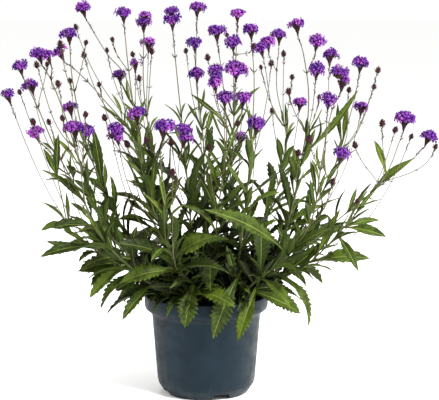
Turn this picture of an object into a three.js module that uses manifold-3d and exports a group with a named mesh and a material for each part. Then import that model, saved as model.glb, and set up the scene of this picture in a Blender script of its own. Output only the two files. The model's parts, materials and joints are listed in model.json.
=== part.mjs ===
// Verbena rigida in full flower, in its round nursery pot. Millimetres, +Z up.
// The pot's axis is the Z axis and it stands on the plane z = 0; the side that faces a viewer is -Y.
import * as THREE from "three";
import { mergeVertices } from "three/addons/utils/BufferGeometryUtils.js";
import Module from "manifold-3d";

const wasm = await Module();
wasm.setup();
const { Manifold, Mesh } = wasm;

// Driving dimensions

const clearance = 0.3; // between pieces that touch each other

const rimRadius = 65;
const potHeight = 104;
const lipDepth = 11; // the upright lip above the curve of the rim band
const wallTopRadius = 57.2; // outside of the wall, under the rim band
const wallTop = 83;
const wallFootRadius = 51.5;
const wallFoot = 14;
const footRadius = 44;
const wallThickness = 1.6;
const floorUnderside = 3.2;
const floorTop = 4.8;
const bossRadius = 9; // the middle of the floor, which also stands on the ground
const roundSegments = 30;

const notchCount = 4;
const notchTurn = 20.5; // degrees from the front to the first notch
const notchWide = 22;
const notchNarrow = 15;
const notchHeight = 6.5;
const notchInner = 37; // radius where a notch begins

const soilTop = 94;
const soilLump = 1.6;
const collarRadius = 2.4; // the woody foot that all the stems of a shoot share
const collarDepth = 10;

const stemSides = 4;
const stalkSides = 3;
const stemFootRadius = 1.6;
const stemTipRadius = 0.85;
const stalkRadius = 0.8;
const calyxLength = 8;
const budLength = 7;
const budRadius = 2.9;

const leafThickness = 1.2; // at the midrib
const rootThickness = 0.8;
const leafFold = 0.22; // rise of a leaf's margin for each mm out from its midrib
const toothBegin = 0.34;
const toothEnd = 0.9;
const firstNode = 14; // along the stem from the soil, where the first pair of leaves grows
const firstInternode = 27;
const internodeGrowth = 7; // each internode is longer than the one below by this
const leafyShare = 0.62; // of the stem's length

const violet = "#7d4fc4";
const leafGreen = "#4f7a34";
const potGrey = "#3d4852";
const peatBrown = "#2b211b";

// The shoots
// Each stem: path from crown to top, blooms as clusters of [x, y, z, radius], bud heads as [x, y, z], and
// single leaves as [share of the stem's length, tip x, y, z, width]. The first bloom ends the stem, and a
// stem with none is a short leafy sprig. The lowest bloom of a cluster comes first.

const shoots = {
  left_back: {
    crown: [-37, 6],
    stems: [
      {
        path: [[-74, -8, 130], [-109, -25, 154], [-136, -40, 174], [-146, -48, 215], [-154, -52, 256]],
        blooms: [[[-170, -56, 279, 8]], [[-202, -25, 315, 7.5]]],
        buds: [[-168, -88, 292], [-160, -25, 287]],
        leaves: [[0.28, -131, -40, 135, 15], [0.45, -168, -54, 153, 10], [0.62, -168, -40, 177, 8],
          [0.82, -163, -52, 263, 6], [0.82, -146, -66, 279, 6]],
      },
      {
        path: [[-72, 20, 124], [-108, 28, 156], [-136, 48, 202], [-162, 62, 247], [-183, 72, 294]],
        blooms: [[[-202, 75, 339, 8.5]], [[-193, 98, 317, 8.5]]],
        buds: [[-199, 45, 313], [-176, 104, 340]],
        leaves: [[0.47, -173, 10, 235, 9], [0.57, -148, 30, 236, 9]],
      },
    ],
  },
  left_front: {
    crown: [-30, -24],
    stems: [
      {
        path: [[-60, -28, 132], [-94, -28, 165], [-118, -35, 213], [-139, -38, 285], [-155, -35, 328]],
        blooms: [[[-168, -32, 356, 8.5], [-159, -37, 355, 6]]],
        buds: [[-166, -68, 347], [-146, -62, 328]],
      },
      {
        path: [[-64, -50, 130], [-98, -65, 166], [-115, -94, 204], [-120, -115, 253]],
        blooms: [[[-124, -122, 289, 10], [-113, -116, 286, 8]]],
        buds: [[-134, -138, 300], [-111, -148, 304]],
        leaves: [[0.17, -84, -74, 92, 11], [0.23, -92, -58, 118, 13], [0.33, -118, -62, 112, 11],
          [0.58, -154, -66, 184, 9]],
      },
    ],
  },
  left_middle: {
    crown: [-20, 2],
    stems: [
      {
        path: [[-48, 6, 128], [-83, 10, 164], [-111, 2, 224], [-128, 0, 276], [-138, 2, 328]],
        blooms: [[[-141, 5, 375, 8.5]], [[-152, 106, 292, 8]]],
        buds: [[-126, 30, 366], [-147, -26, 366], [-145, 45, 325]],
        leaves: [[0.5, -116, -10, 280, 9]],
      },
      {
        path: [[-36, 2, 142], [-59, 0, 190], [-76, 12, 265], [-109, 22, 308], [-135, 28, 335]],
        blooms: [[[-154, 30, 356, 8]], [[-87, -74, 277, 7], [-88, -73, 284, 8]]],
        buds: [[-131, 58, 352], [-116, 66, 320], [-102, -36, 292], [-90, -106, 280]],
      },
    ],
  },
  middle_back: {
    crown: [-14, 28],
    stems: [
      {
        path: [[-30, 36, 136], [-52, 45, 180], [-73, 82, 258], [-88, 98, 323], [-110, 100, 352]],
        blooms: [[[-136, 100, 401, 8.5]], [[-99, 140, 326, 8]]],
        buds: [[-146, 126, 380], [-113, 142, 354]],
      },
      {
        path: [[-24, 26, 138], [-37, 25, 183], [-57, 42, 251], [-67, 55, 314]],
        blooms: [[[-67, 60, 386, 8], [-66, 60, 393, 7]], [[-64, 98, 363, 8]]],
        buds: [[-80, 75, 352], [-57, 24, 357], [-75, 110, 324]],
      },
      { path: [[-22, 46, 120], [-36, 62, 138]] },
    ],
  },
  middle_left: {
    crown: [-8, -10],
    stems: [
      {
        path: [[-30, -12, 140], [-56, -15, 200], [-70, -25, 279], [-78, -28, 340]],
        blooms: [[[-83, -25, 397, 8]], [[-67, -82, 300, 8]], [[-74, 18, 345, 6.5]]],
        buds: [[-96, -4, 370], [-78, -62, 268]],
      },
      {
        path: [[-12, -5, 138], [-17, 0, 192], [-23, -10, 267], [-29, -15, 329]],
        blooms: [[[-34, -20, 390, 8.5], [-35, -19, 398, 7]]],
        buds: [[-35, -38, 267]],
      },
    ],
  },
  front: {
    crown: [-12, -36],
    stems: [
      {
        path: [[-22, -52, 122], [-31, -72, 150], [-39, -98, 179], [-38, -120, 220], [-42, -132, 260]],
        blooms: [[[-39, -138, 291, 9.5]], [[-19, -107, 278, 7], [-20, -106, 285, 8]]],
        buds: [[-30, -152, 250], [-56, -112, 276]],
        leaves: [[0.32, -88, -110, 176, 16], [0.32, 10, -110, 184, 15]],
      },
      {
        path: [[-12, -48, 112], [-12, -60, 126]],
        leaves: [[1, -21, -77, 84, 17]],
      },
      { path: [[-32, -50, 118], [-44, -58, 138]] },
    ],
  },
  middle: {
    crown: [6, 14],
    stems: [
      {
        path: [[0, 28, 132], [-2, 50, 185], [-4, 98, 257], [-12, 122, 321]],
        blooms: [[[-11, 135, 401, 8.5]], [[-13, 92, 363, 8]], [[-10, 42, 333, 8]]],
        buds: [[-24, 152, 353], [-7, 138, 258]],
      },
      {
        path: [[8, -2, 136], [12, -20, 190], [21, -40, 270], [17, -45, 331]],
        blooms: [[[11, -45, 379, 8.5]], [[9, -67, 329, 7.5], [10, -65, 335, 7], [10, -64, 341, 8]],
          [[19, -106, 317, 8]]],
        buds: [[2, -16, 352], [3, -72, 266], [32, -78, 290]],
      },
      { path: [[-2, 0, 124], [-12, -14, 150]] },
    ],
  },
  middle_right: {
    crown: [22, -10],
    stems: [
      {
        path: [[22, 4, 132], [21, 18, 177], [28, 32, 252], [30, 35, 316]],
        blooms: [[[33, 32, 396, 7]], [[28, 0, 367, 8]], [[31, -18, 340, 12]], [[38, -38, 312, 8]],
          [[38, 158, 253, 8]]],
        buds: [[22, 60, 373], [50, 46, 362]],
      },
      {
        path: [[32, -16, 134], [39, -22, 183], [46, -5, 251], [51, 50, 320]],
        blooms: [[[48, 70, 378, 8.5]], [[49, -130, 293, 8]]],
        buds: [[70, 76, 342]],
      },
      {
        path: [[27, -34, 114], [33, -56, 133]],
        leaves: [[1, 7, -80, 74, 17]],
      },
      { path: [[12, -26, 122], [2, -40, 148]] },
    ],
  },
  right_back: {
    crown: [30, 24],
    stems: [
      {
        path: [[44, 34, 124], [60, 45, 162], [87, 78, 247], [77, 98, 314]],
        blooms: [[[80, 108, 372, 8.5]], [[66, 72, 365, 8], [58, 65, 359, 8]], [[106, 150, 294, 8]]],
        buds: [[60, 122, 336], [92, 62, 328], [86, 134, 350], [73, 118, 287]],
      },
      {
        path: [[52, 18, 124], [82, 10, 164], [101, 0, 255], [106, -5, 308], [101, -5, 351]],
        blooms: [[[93, -2, 385, 8]], [[112, -32, 369, 8.5]], [[111, -46, 341, 8.5]]],
        buds: [[84, -28, 318], [119, 26, 309], [94, -36, 256]],
      },
      { path: [[26, 46, 120], [22, 62, 140]] },
    ],
  },
  right_front: {
    crown: [26, -34],
    stems: [
      {
        path: [[50, -52, 126], [81, -72, 156], [104, -98, 197], [114, -92, 255], [124, -78, 301]],
        blooms: [[[136, -66, 330, 8], [132, -70, 338, 11]], [[127, -10, 354, 8.5]], [[118, -120, 316, 8]],
          [[128, -148, 268, 8]]],
        buds: [[123, -116, 236], [100, -118, 278]],
        leaves: [[0.33, 0, -124, 212, 13], [0.33, 123, -94, 188, 12]],
      },
      {
        path: [[40, -44, 110], [52, -52, 120]],
        leaves: [[1, 32, -76, 70, 13], [0.8, 97, -50, 93, 15]],
      },
    ],
  },
  right: {
    crown: [40, 2],
    stems: [
      {
        path: [[64, 18, 128], [98, 38, 163], [136, 60, 225], [158, 72, 294]],
        blooms: [[[167, 78, 342, 9]], [[174, 125, 291, 8]]],
        buds: [[152, 46, 315], [188, 95, 334], [180, 58, 318]],
      },
      {
        path: [[66, -12, 120], [104, -32, 141], [141, -50, 183], [179, -55, 233], [194, -52, 268]],
        blooms: [[[200, -50, 292, 10.5]]],
        buds: [[174, -78, 290], [210, -24, 272], [148, -74, 268], [150, -84, 214]],
        leaves: [[0.34, 168, -46, 150, 12], [0.51, 152, -82, 142, 9], [0.55, 182, -60, 174, 9],
          [0.55, 178, -30, 186, 8], [0.82, 169, -50, 271, 7]],
      },
      {
        path: [[70, 6, 124], [106, 22, 150], [167, 38, 198], [212, 40, 234]],
        blooms: [[[237, 38, 266, 8.5]]],
        buds: [[204, 62, 271], [240, 10, 258]],
        leaves: [[0.7, 222, 20, 246, 9]],
      },
    ],
  },
};

// Solids

const vec = (x, y, z) => new THREE.Vector3(x, y, z);
const up = vec(0, 0, 1);

// A closed solid from a list of points and the corner numbers of its triangles.
function solidOf(points, corners) {
  const geometry = new THREE.BufferGeometry().setFromPoints(points);
  geometry.setIndex(corners);
  return solidFrom(geometry);
}

function solidFrom(geometry) {
  geometry.deleteAttribute("uv");
  geometry.deleteAttribute("normal");
  const merged = mergeVertices(geometry, 1e-4);
  const corners = [];
  const index = merged.index.array;
  for (let i = 0; i < index.length; i += 3) {
    const [a, b, c] = index.subarray(i, i + 3);
    if (a !== b && b !== c && c !== a) corners.push(a, b, c);
  }
  const vertProperties = merged.attributes.position.array;
  const triVerts = new Uint32Array(corners);
  return new Manifold(new Mesh({ numProp: 3, vertProperties, triVerts }));
}

function meshFrom(name, solid, color, roughness) {
  const { numProp, vertProperties, triVerts } = solid.getMesh();
  const geometry = new THREE.BufferGeometry();
  geometry.setAttribute("position", new THREE.BufferAttribute(vertProperties, numProp));
  geometry.setIndex(new THREE.BufferAttribute(triVerts, 1));
  geometry.computeVertexNormals();
  const material = new THREE.MeshStandardMaterial({ color, roughness, metalness: 0 });
  const mesh = new THREE.Mesh(geometry, material);
  mesh.name = name;
  return mesh;
}

// A profile of [radius, height] turned round the Z axis.
function turned(profile) {
  const points = profile.map(([radius, height]) => new THREE.Vector2(radius, height));
  return new THREE.LatheGeometry(points, roundSegments).rotateX(Math.PI / 2);
}

// A tube with flat ends through the points, with a radius at each.
function tube(points, radii, sides) {
  const rings = [];
  const last = points.length - 1;
  let across = vec(0.6, -0.8, 0);
  points.forEach((point, i) => {
    const along = points[Math.min(i + 1, last)].clone().sub(points[Math.max(i - 1, 0)]).normalize();
    across = across.clone().addScaledVector(along, -across.dot(along)).normalize();
    const beside = along.clone().cross(across);
    for (let k = 0; k < sides; k++) {
      const turn = (2 * Math.PI * k) / sides;
      rings.push(
        point.clone()
          .addScaledVector(across, radii[i] * Math.cos(turn))
          .addScaledVector(beside, radii[i] * Math.sin(turn)),
      );
    }
  });
  const corners = [];
  for (let i = 0; i < last; i++)
    for (let k = 0; k < sides; k++) {
      const a = i * sides + k;
      const b = i * sides + ((k + 1) % sides);
      corners.push(a, b, b + sides, a, b + sides, a + sides);
    }
  const end = last * sides;
  for (let k = 1; k < sides - 1; k++) corners.push(0, k + 1, k, end, end + k, end + k + 1);
  return solidOf(rings, corners);
}

// Pot and soil

function makePot() {
  const inside = wallThickness;
  const solid = solidFrom(turned([
    [0, 0],
    [bossRadius, 0],
    [bossRadius + 1.5, floorUnderside],
    [footRadius - 6.5, floorUnderside],
    [footRadius - 5, 0],
    [footRadius, 0],
    [footRadius + 3.4, 5],
    [wallFootRadius - 1.1, 9.5],
    [wallFootRadius, wallFoot],
    [wallTopRadius, wallTop],
    [wallTopRadius + 1.6, wallTop + 2.5],
    [rimRadius - 3.4, wallTop + 4.6],
    [rimRadius - 0.9, potHeight - lipDepth - 3.4],
    [rimRadius, potHeight - lipDepth],
    [rimRadius, potHeight - 0.7],
    [rimRadius - 0.7, potHeight],
    [rimRadius - inside, potHeight],
    [rimRadius - inside - 0.3, potHeight - lipDepth],
    [rimRadius - inside - 3.4, wallTop + 6.2],
    [wallTopRadius - inside, wallTop],
    [wallFootRadius - inside, wallFoot],
    [footRadius + 2.4, floorTop],
    [0, floorTop],
  ]));
  return Manifold.difference([solid, ...notches()]);
}

// The drain notches: wedges that run out through the foot ring and the floor's edge.
function notches() {
  const outline = new THREE.Shape();
  outline.moveTo(-notchWide / 2, -1);
  outline.lineTo(notchWide / 2, -1);
  outline.lineTo(notchNarrow / 2, notchHeight);
  outline.lineTo(-notchNarrow / 2, notchHeight);
  const depth = rimRadius - notchInner;
  return Array.from({ length: notchCount }, (_, i) => {
    const wedge = new THREE.ExtrudeGeometry(outline, { depth, bevelEnabled: false });
    wedge.rotateX(Math.PI / 2);
    wedge.translate(0, -notchInner, 0);
    wedge.rotateZ(THREE.MathUtils.degToRad(notchTurn + (360 / notchCount) * i));
    return solidFrom(wedge);
  });
}

// The height of the soil's top at a place, with low lumps.
const soilHeight = (x, y) =>
  soilTop + soilLump * (Math.sin(x / 7 + 1) * Math.cos(y / 8) + 0.5 * Math.sin(x / 3.1 - y / 4.3));

function makeSoil() {
  const fit = clearance + 0.15;
  const radiusAtTop = rimRadius - wallThickness - 0.3 - fit;
  const geometry = turned([
    [0, floorTop + clearance],
    [footRadius + 2.2 - fit, floorTop + clearance],
    [wallFootRadius - wallThickness - fit, wallFoot],
    [wallTopRadius - wallThickness - fit, wallTop],
    [rimRadius - wallThickness - 3.4 - fit, wallTop + 6.2],
    ...[1, 0.7, 0.35].map((share) => [radiusAtTop * share, soilTop - 0.5]),
    [0, soilTop - 0.5],
  ]);
  const place = geometry.attributes.position;
  for (let i = 0; i < place.count; i++)
    if (place.getZ(i) > wallTop + 8 && Math.hypot(place.getX(i), place.getY(i)) < radiusAtTop * 0.9)
      place.setZ(i, soilHeight(place.getX(i), place.getY(i)));
  const holes = Object.values(shoots).map(({ crown: [x, y] }) =>
    tube(
      [vec(x, y, soilTop - collarDepth - clearance), vec(x, y, soilTop + 8)],
      [collarRadius + 0.5, collarRadius + 0.5],
      6,
    ),
  );
  return Manifold.difference([solidFrom(geometry), ...holes]);
}

// Stems and heads

// The way a head faces: on from the last stretch of its stem, and up.
const facing = (from, to) => to.clone().sub(from).normalize().addScaledVector(up, 0.7).normalize();

// From the middle of a bloom down to its flat foot.
const headFoot = (radius) => 0.42 * radius;

// The end of a stalk: a cone of calyx teeth that opens up to the bloom's foot.
function calyx(place, radius, face) {
  const top = place.clone().addScaledVector(face, -headFoot(radius) - clearance);
  const foot = top.clone().addScaledVector(face, -calyxLength);
  return { points: [foot, top], radii: [stalkRadius, 0.5 * radius] };
}

// The end of a stalk that has no bloom: a dark spindle of buds.
function bud(place, face) {
  const foot = place.clone().addScaledVector(face, -budLength / 2);
  const middle = place.clone().addScaledVector(face, -budLength * 0.05);
  const top = place.clone().addScaledVector(face, budLength / 2);
  return { points: [foot, middle, top], radii: [stalkRadius, budRadius, 0.8] };
}

// The places along a stem, as shares of its length, where leaves and side stalks grow.
function nodesOf(length, number) {
  const shares = [];
  let internode = firstInternode;
  for (let along = firstNode + 2 * (number % 5); along < length - 8; along += internode) {
    shares.push(along / length);
    internode += internodeGrowth;
  }
  return shares;
}

// The node that a side stalk leaves from: lower than its head by a little more than it has to reach out.
function forkFor(curve, nodes, place) {
  const miss = (share) => {
    const from = curve.getPointAt(share);
    const out = Math.hypot(place.x - from.x, place.y - from.y);
    return Math.abs(place.z - from.z - 16 - 1.1 * out);
  };
  return nodes.slice(1).reduce((best, share) => (miss(share) < miss(best) ? share : best));
}

// A side stalk that swings out from its stem and turns up into its head.
function stalk(curve, nodes, place, head) {
  const share = forkFor(curve, nodes, place);
  const from = curve.getPointAt(share);
  const out = vec(place.x - from.x, place.y - from.y, 0);
  const face = out.clone().normalize().multiplyScalar(0.35).add(up).normalize();
  const end = head(place, face);
  const reach = end.points[0].distanceTo(from);
  const lean = curve.getTangentAt(share).multiplyScalar(0.5);
  const path = new THREE.CubicBezierCurve3(
    from,
    from.clone().addScaledVector(lean.addScaledVector(out.normalize(), 0.6).normalize(), reach * 0.35),
    end.points[0].clone().addScaledVector(face, -reach * 0.35),
    end.points[0],
  );
  const points = [from, path.getPoint(0.5), ...end.points];
  return { points, radii: [stalkRadius / 2, stalkRadius, ...end.radii], sides: stalkSides, face };
}

// A bloom of a cluster stands on its own calyx, unless it sits right on top of a lower one.
const onCalyx = (place, cluster) =>
  !cluster.some(([x, y, z]) => place[2] - z > 4 && Math.hypot(place[0] - x, place[1] - y) < 8);

// A stem's curve, its nodes, all its tubes, and its blooms with the way each faces.
function growStem({ path, blooms = [], buds = [], leaves = [] }, crown, number) {
  const [topBloom, ...others] = blooms.flatMap((cluster, group) =>
    cluster.map((bloom) => ({ bloom, group, stands: onCalyx(bloom, cluster) })),
  );
  const places = [vec(...crown, soilTop + 4), ...path.map((point) => vec(...point))];
  const heads = [];
  let end = { points: [], radii: [] };
  if (topBloom) {
    const top = vec(...topBloom.bloom);
    const face = facing(places.at(-1), top);
    end = calyx(top, topBloom.bloom[3], face);
    places.push(end.points[0]);
    heads.push({ ...topBloom, face });
  }
  const curve = new THREE.CatmullRomCurve3(places, false, "catmullrom", 0.5);
  const marked = [...new Set(leaves.map(([share]) => share))];
  const apart = (share) => marked.every((other) => Math.abs(share - other) * curve.getLength() > 12);
  const nodes = nodesOf(curve.getLength(), number).filter(apart);
  const rings = [...new Set([0, ...nodes, ...marked, 1])].sort((a, b) => a - b);
  const thickness = rings.map((share) => THREE.MathUtils.lerp(stemFootRadius, stemTipRadius, share));
  const tubes = [{
    points: [...rings.map((share) => curve.getPointAt(share)), ...end.points.slice(1)],
    radii: [...thickness, ...end.radii.slice(1)],
    sides: stemSides,
  }];
  for (const other of others) {
    const head = (place, face) => calyx(place, other.bloom[3], face);
    const side = stalk(curve, nodes, vec(...other.bloom), head);
    if (other.stands) tubes.push(side);
    heads.push({ ...other, face: other.stands ? side.face : heads.at(-1).face });
  }
  for (const place of buds) tubes.push(stalk(curve, nodes, vec(...place), bud));
  return { number, curve, nodes, tubes, heads, singles: leaves };
}

// Blooms

// A domed head of florets: the corners of an icosahedron are the florets' throats, the middles of its edges
// are their lobes, and the middles of its faces are the gaps between them. On a small head each corner is a
// lobe.
function dome({ bloom: [x, y, z, radius], face }) {
  const seed = new THREE.IcosahedronGeometry(1, 0).rotateZ(x).attributes.position;
  const turn = new THREE.Quaternion().setFromUnitVectors(up, face);
  const points = [];
  const full = radius > 10.2;
  const at = (direction, share) => {
    const point = direction.clone().normalize().multiplyScalar(radius * share);
    point.z = Math.max(point.z * 0.85, -headFoot(radius));
    points.push(point.applyQuaternion(turn).add(vec(x, y, z)));
  };
  for (let i = 0; i < seed.count; i += 3) {
    const [a, b, c] = [0, 1, 2].map((k) => vec().fromBufferAttribute(seed, i + k));
    const gap = a.clone().add(b).add(c);
    for (const [p, q] of [[a, b], [b, c], [c, a]]) {
      const lobe = p.clone().add(q);
      const ring = full ? [[p, 0.82], [lobe, 1.02], [gap, 0.66], [lobe, 1.02], [q, 0.82], [gap, 0.66]]
        : [[p, 1.02], [q, 1.02], [gap, 0.66]];
      for (const [direction, share] of ring) at(direction, share);
    }
  }
  return solidOf(points, points.map((_, i) => i));
}

// Leaves

// Half of a leaf's width at a share of its length: widest past the middle, and narrow where it clasps the
// stem.
const halfWidth = (width, t) => (width / 2) * (0.3 * (1 - t) + 0.95 * Math.sin(Math.PI * t ** 1.3));

// A leaf's own frame: a point on its blade at a share of its length and a distance from its midrib.
function bladeOf({ base, tip, facing: above, arch }) {
  const chord = tip.clone().sub(base);
  const side = chord.clone().cross(above).normalize();
  const normal = side.clone().cross(chord).normalize();
  const rise = arch * chord.length();
  return (t, across, lift = 0) =>
    base.clone()
      .addScaledVector(chord, t)
      .addScaledVector(side, across)
      .addScaledVector(normal, rise * 4 * t * (1 - t) + leafFold * Math.abs(across) + lift);
}

// A folded blade, thick at the midrib and sharp at its toothed margin, split alike on both faces. It starts
// as an upright edge inside the stem.
function leafSolid(leaf) {
  const { width, teeth } = leaf;
  const blade = bladeOf(leaf);
  const step = (toothEnd - toothBegin) / teeth;
  const ribs = [0, ...Array.from({ length: teeth + 1 }, (_, j) => toothBegin + j * step)];
  const margin = [];
  for (let j = 0; j < teeth; j++) margin.push([ribs[j + 1], 0.86], [ribs[j + 1] + 0.72 * step, 1.16]);
  margin.push([toothEnd, 0.9]);
  const points = [];
  for (const lift of [0.5, -0.5])
    for (const t of ribs) points.push(blade(t, 0, lift * (t ? leafThickness : rootThickness)));
  for (const side of [1, -1])
    for (const [t, share] of margin) points.push(blade(t, side * share * halfWidth(width, t)));
  points.push(blade(1, 0));
  const tip = points.length - 1;
  const corners = [];
  for (const face of [0, 1])
    for (const side of [0, 1]) {
      const rib = (i) => face * ribs.length + i;
      const edge = (i) => 2 * ribs.length + side * margin.length + i;
      const add = (a, b, c) => corners.push(...(face === side ? [a, b, c] : [a, c, b]));
      add(rib(0), edge(0), rib(1));
      for (let j = 0; j < teeth; j++) {
        add(rib(j + 1), edge(2 * j), edge(2 * j + 1));
        add(rib(j + 1), edge(2 * j + 1), rib(j + 2));
        add(rib(j + 2), edge(2 * j + 1), edge(2 * j + 2));
      }
      add(rib(teeth + 1), edge(2 * teeth), tip);
    }
  const [top, bottom, right, left] = [0, ribs.length, 2 * ribs.length, 2 * ribs.length + margin.length];
  corners.push(top, bottom, right, top, left, bottom);
  return solidOf(points, corners);
}

// Where the leaves go

const leafSample = 3.6; // between the places of a leaf that are kept clear
const leafRoom = 1.9; // kept clear round each of them
const stemRoom = 1.7;
const baseShare = 9; // from its base, within which a leaf may touch its own stem

// How far a leaf may turn, and to what share of its length it may shrink, to find room.
const secondChoices = [
  [0, 1], [0.4, 0.94], [-0.4, 0.94], [0.8, 0.85], [-0.8, 0.85], [0, 0.72], [0.5, 0.6], [-0.5, 0.6],
];

// The number of the next random draw, from 0 to 1.
function drawer(seed) {
  let state = seed;
  return () => {
    state = (state * 16807) % 2147483647;
    return state / 2147483647;
  };
}

const filled = []; // what leaves keep clear of: { place, room, stem }

function keepClear(points, room, stem) {
  for (const place of points) filled.push({ place, room, stem });
}

function samplesOf(leaf) {
  const blade = bladeOf(leaf);
  const length = leaf.base.distanceTo(leaf.tip);
  const samples = [];
  for (let along = 5; along < length + 1; along += leafSample) {
    const t = Math.min(along / length, 1);
    const half = halfWidth(leaf.width, t);
    const columns = Math.max(1, Math.round(half / 1.8));
    for (let c = -columns; c <= columns; c++)
      samples.push({ place: blade(t, (half * c) / columns), along });
  }
  return samples;
}

// The lowest that a leaf may pass at a distance from the pot's axis.
function floorAt(radius) {
  if (radius < rimRadius - 7) return soilTop + 4;
  return radius < rimRadius + 4 ? potHeight + 3 : 3;
}

function isClear(samples, stem) {
  return samples.every(({ place, along }) => {
    if (place.z < floorAt(Math.hypot(place.x, place.y))) return false;
    return filled.every((other) => {
      if (other.stem === stem && along < baseShare) return true;
      return place.distanceTo(other.place) > leafRoom + other.room;
    });
  });
}

function addLeaf(leaf, number) {
  keepClear(samplesOf(leaf).map(({ place }) => place), leafRoom, number);
  return leaf;
}

// The leaves that have a tip of their own.
const singleLeaves = ({ curve, singles, number }) =>
  singles.map(([share, x, y, z, width]) => {
    const base = curve.getPointAt(share);
    const tip = vec(x, y, z);
    const teeth = base.distanceTo(tip) > 54 ? 3 : 2;
    return addLeaf({ base, tip, width, facing: vec(0, -0.75, 0.65), arch: 0.1, teeth }, number);
  });

// Opposite pairs up the stem, each turned a quarter from the last, shorter and narrower towards the top.
// A leaf that has no room where it should be turns or shortens a little, or is left out.
function pairedLeaves({ curve, nodes, number, heads }) {
  const length = curve.getLength();
  const leafy = heads.length ? leafyShare : 1;
  const draw = drawer(number * 7919 + 17);
  const leaves = [];
  let turn = draw() * Math.PI;
  for (const share of nodes.filter((node) => node < leafy)) {
    const height = share * length < 60 ? 0.1 : share / leafy;
    const base = curve.getPointAt(share);
    const tangent = curve.getTangentAt(share);
    const across = vec(0.6, -0.8, 0).projectOnPlane(tangent).normalize();
    const beside = tangent.clone().cross(across);
    for (const opposite of [0, Math.PI]) {
      const long = (66 - 36 * height) * (0.88 + 0.24 * draw());
      const wide = long * (0.25 - 0.1 * height);
      const lean = 0.25 + 0.8 * height + 0.2 * draw();
      const roll = vec(draw() - 0.5, draw() - 0.8, 0);
      for (const [swing, scale] of secondChoices) {
        const angle = turn + opposite + swing;
        const way = across.clone().multiplyScalar(Math.cos(angle));
        way.addScaledVector(beside, Math.sin(angle));
        way.multiplyScalar(Math.cos(lean)).addScaledVector(tangent, Math.sin(lean));
        way.z += 0.1 - 0.25 * (1 - height);
        const leaf = {
          base,
          tip: base.clone().addScaledVector(way.normalize(), long * scale),
          width: wide * scale,
          facing: tangent.clone().add(up).addScaledVector(roll, 1.3).normalize(),
          arch: 0.12 - 0.06 * height,
          teeth: long * scale > 48 ? 2 : 1,
        };
        if (!isClear(samplesOf(leaf), number)) continue;
        leaves.push(addLeaf(leaf, number));
        break;
      }
    }
    turn += Math.PI / 2;
  }
  return leaves;
}

// The plant

const plant = new THREE.Group();
plant.add(meshFrom("pot", makePot(), potGrey, 0.55));
plant.add(meshFrom("soil", makeSoil(), peatBrown, 0.95));

let stemNumber = 0;
const grown = Object.entries(shoots).map(([name, { crown, stems }]) => ({
  name,
  crown,
  stems: stems.map((stem) => growStem(stem, crown, ++stemNumber)),
}));
const allStems = grown.flatMap(({ stems }) => stems);

// Stems and heads take their room first, so that the leaves go round them.
for (const { curve, tubes, heads, number } of allStems) {
  keepClear(curve.getSpacedPoints(Math.round(curve.getLength() / 3)), stemRoom, number);
  for (const { points } of tubes.slice(1)) {
    const route = new THREE.CatmullRomCurve3(points, false, "catmullrom", 0.5);
    keepClear(route.getSpacedPoints(Math.round(route.getLength() / 3)), stemRoom, number);
    keepClear([points.at(-2)], 3.4, number);
  }
  for (const { bloom: [x, y, z, radius] } of heads) keepClear([vec(x, y, z)], radius + 1, number);
}
for (const stem of allStems) stem.leaves = singleLeaves(stem);
for (const stem of allStems) stem.leaves.push(...pairedLeaves(stem));

for (const { name, crown, stems } of grown) {
  const collar = tube(
    [vec(...crown, soilTop - collarDepth), vec(...crown, soilTop + 5)],
    [collarRadius, collarRadius],
    6,
  );
  const pieces = stems.flatMap(({ tubes, leaves }) => [
    ...tubes.map(({ points, radii, sides }) => tube(points, radii, sides)),
    ...leaves.map(leafSolid),
  ]);
  const shoot = Manifold.union([collar, ...pieces]).simplify(0.02);
  plant.add(meshFrom("shoot_" + name, shoot, leafGreen, 0.75));
  let count = 0;
  for (const { heads } of stems) {
    for (const group of new Set(heads.map((head) => head.group))) {
      const domes = heads.filter((head) => head.group === group).map(dome);
      const solid = Manifold.union(domes).simplify(0.02);
      plant.add(meshFrom("bloom_" + name + "_" + ++count, solid, violet, 0.6));
    }
  }
}

export default plant;
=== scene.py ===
import json
import math

import bpy
import numpy as np
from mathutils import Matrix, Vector

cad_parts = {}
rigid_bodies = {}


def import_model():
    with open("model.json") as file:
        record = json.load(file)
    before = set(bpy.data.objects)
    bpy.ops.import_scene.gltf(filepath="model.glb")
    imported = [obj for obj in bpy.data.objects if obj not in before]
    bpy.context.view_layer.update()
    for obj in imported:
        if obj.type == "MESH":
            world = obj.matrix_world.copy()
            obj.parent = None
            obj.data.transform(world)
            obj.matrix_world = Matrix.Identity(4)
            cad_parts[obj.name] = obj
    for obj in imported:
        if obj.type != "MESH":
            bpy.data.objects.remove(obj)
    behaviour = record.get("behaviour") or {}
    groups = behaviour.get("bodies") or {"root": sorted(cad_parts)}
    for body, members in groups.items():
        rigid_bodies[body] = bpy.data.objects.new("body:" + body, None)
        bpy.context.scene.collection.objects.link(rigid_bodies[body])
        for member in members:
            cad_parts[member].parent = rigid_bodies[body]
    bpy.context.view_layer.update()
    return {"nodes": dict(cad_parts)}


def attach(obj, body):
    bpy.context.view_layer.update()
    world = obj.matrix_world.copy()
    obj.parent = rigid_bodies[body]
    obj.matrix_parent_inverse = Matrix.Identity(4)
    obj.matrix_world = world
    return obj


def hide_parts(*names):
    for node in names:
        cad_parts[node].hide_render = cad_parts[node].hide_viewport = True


# Verbena rigida in full flower in its nursery pot. Plans are in millimetres, meshes in metres.
metre = 1000
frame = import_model()
print("frame loaded:", len(frame["nodes"]), "nodes")


def linearOf(hexColour):
    # an sRGB hex colour as the linear one that shaders use
    parts = [int(hexColour[i:i + 2], 16) / 255 for i in (1, 3, 5)]
    return [c / 12.92 if c <= 0.04045 else ((c + 0.055) / 1.055) ** 2.4 for c in parts] + [1.0]


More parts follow.
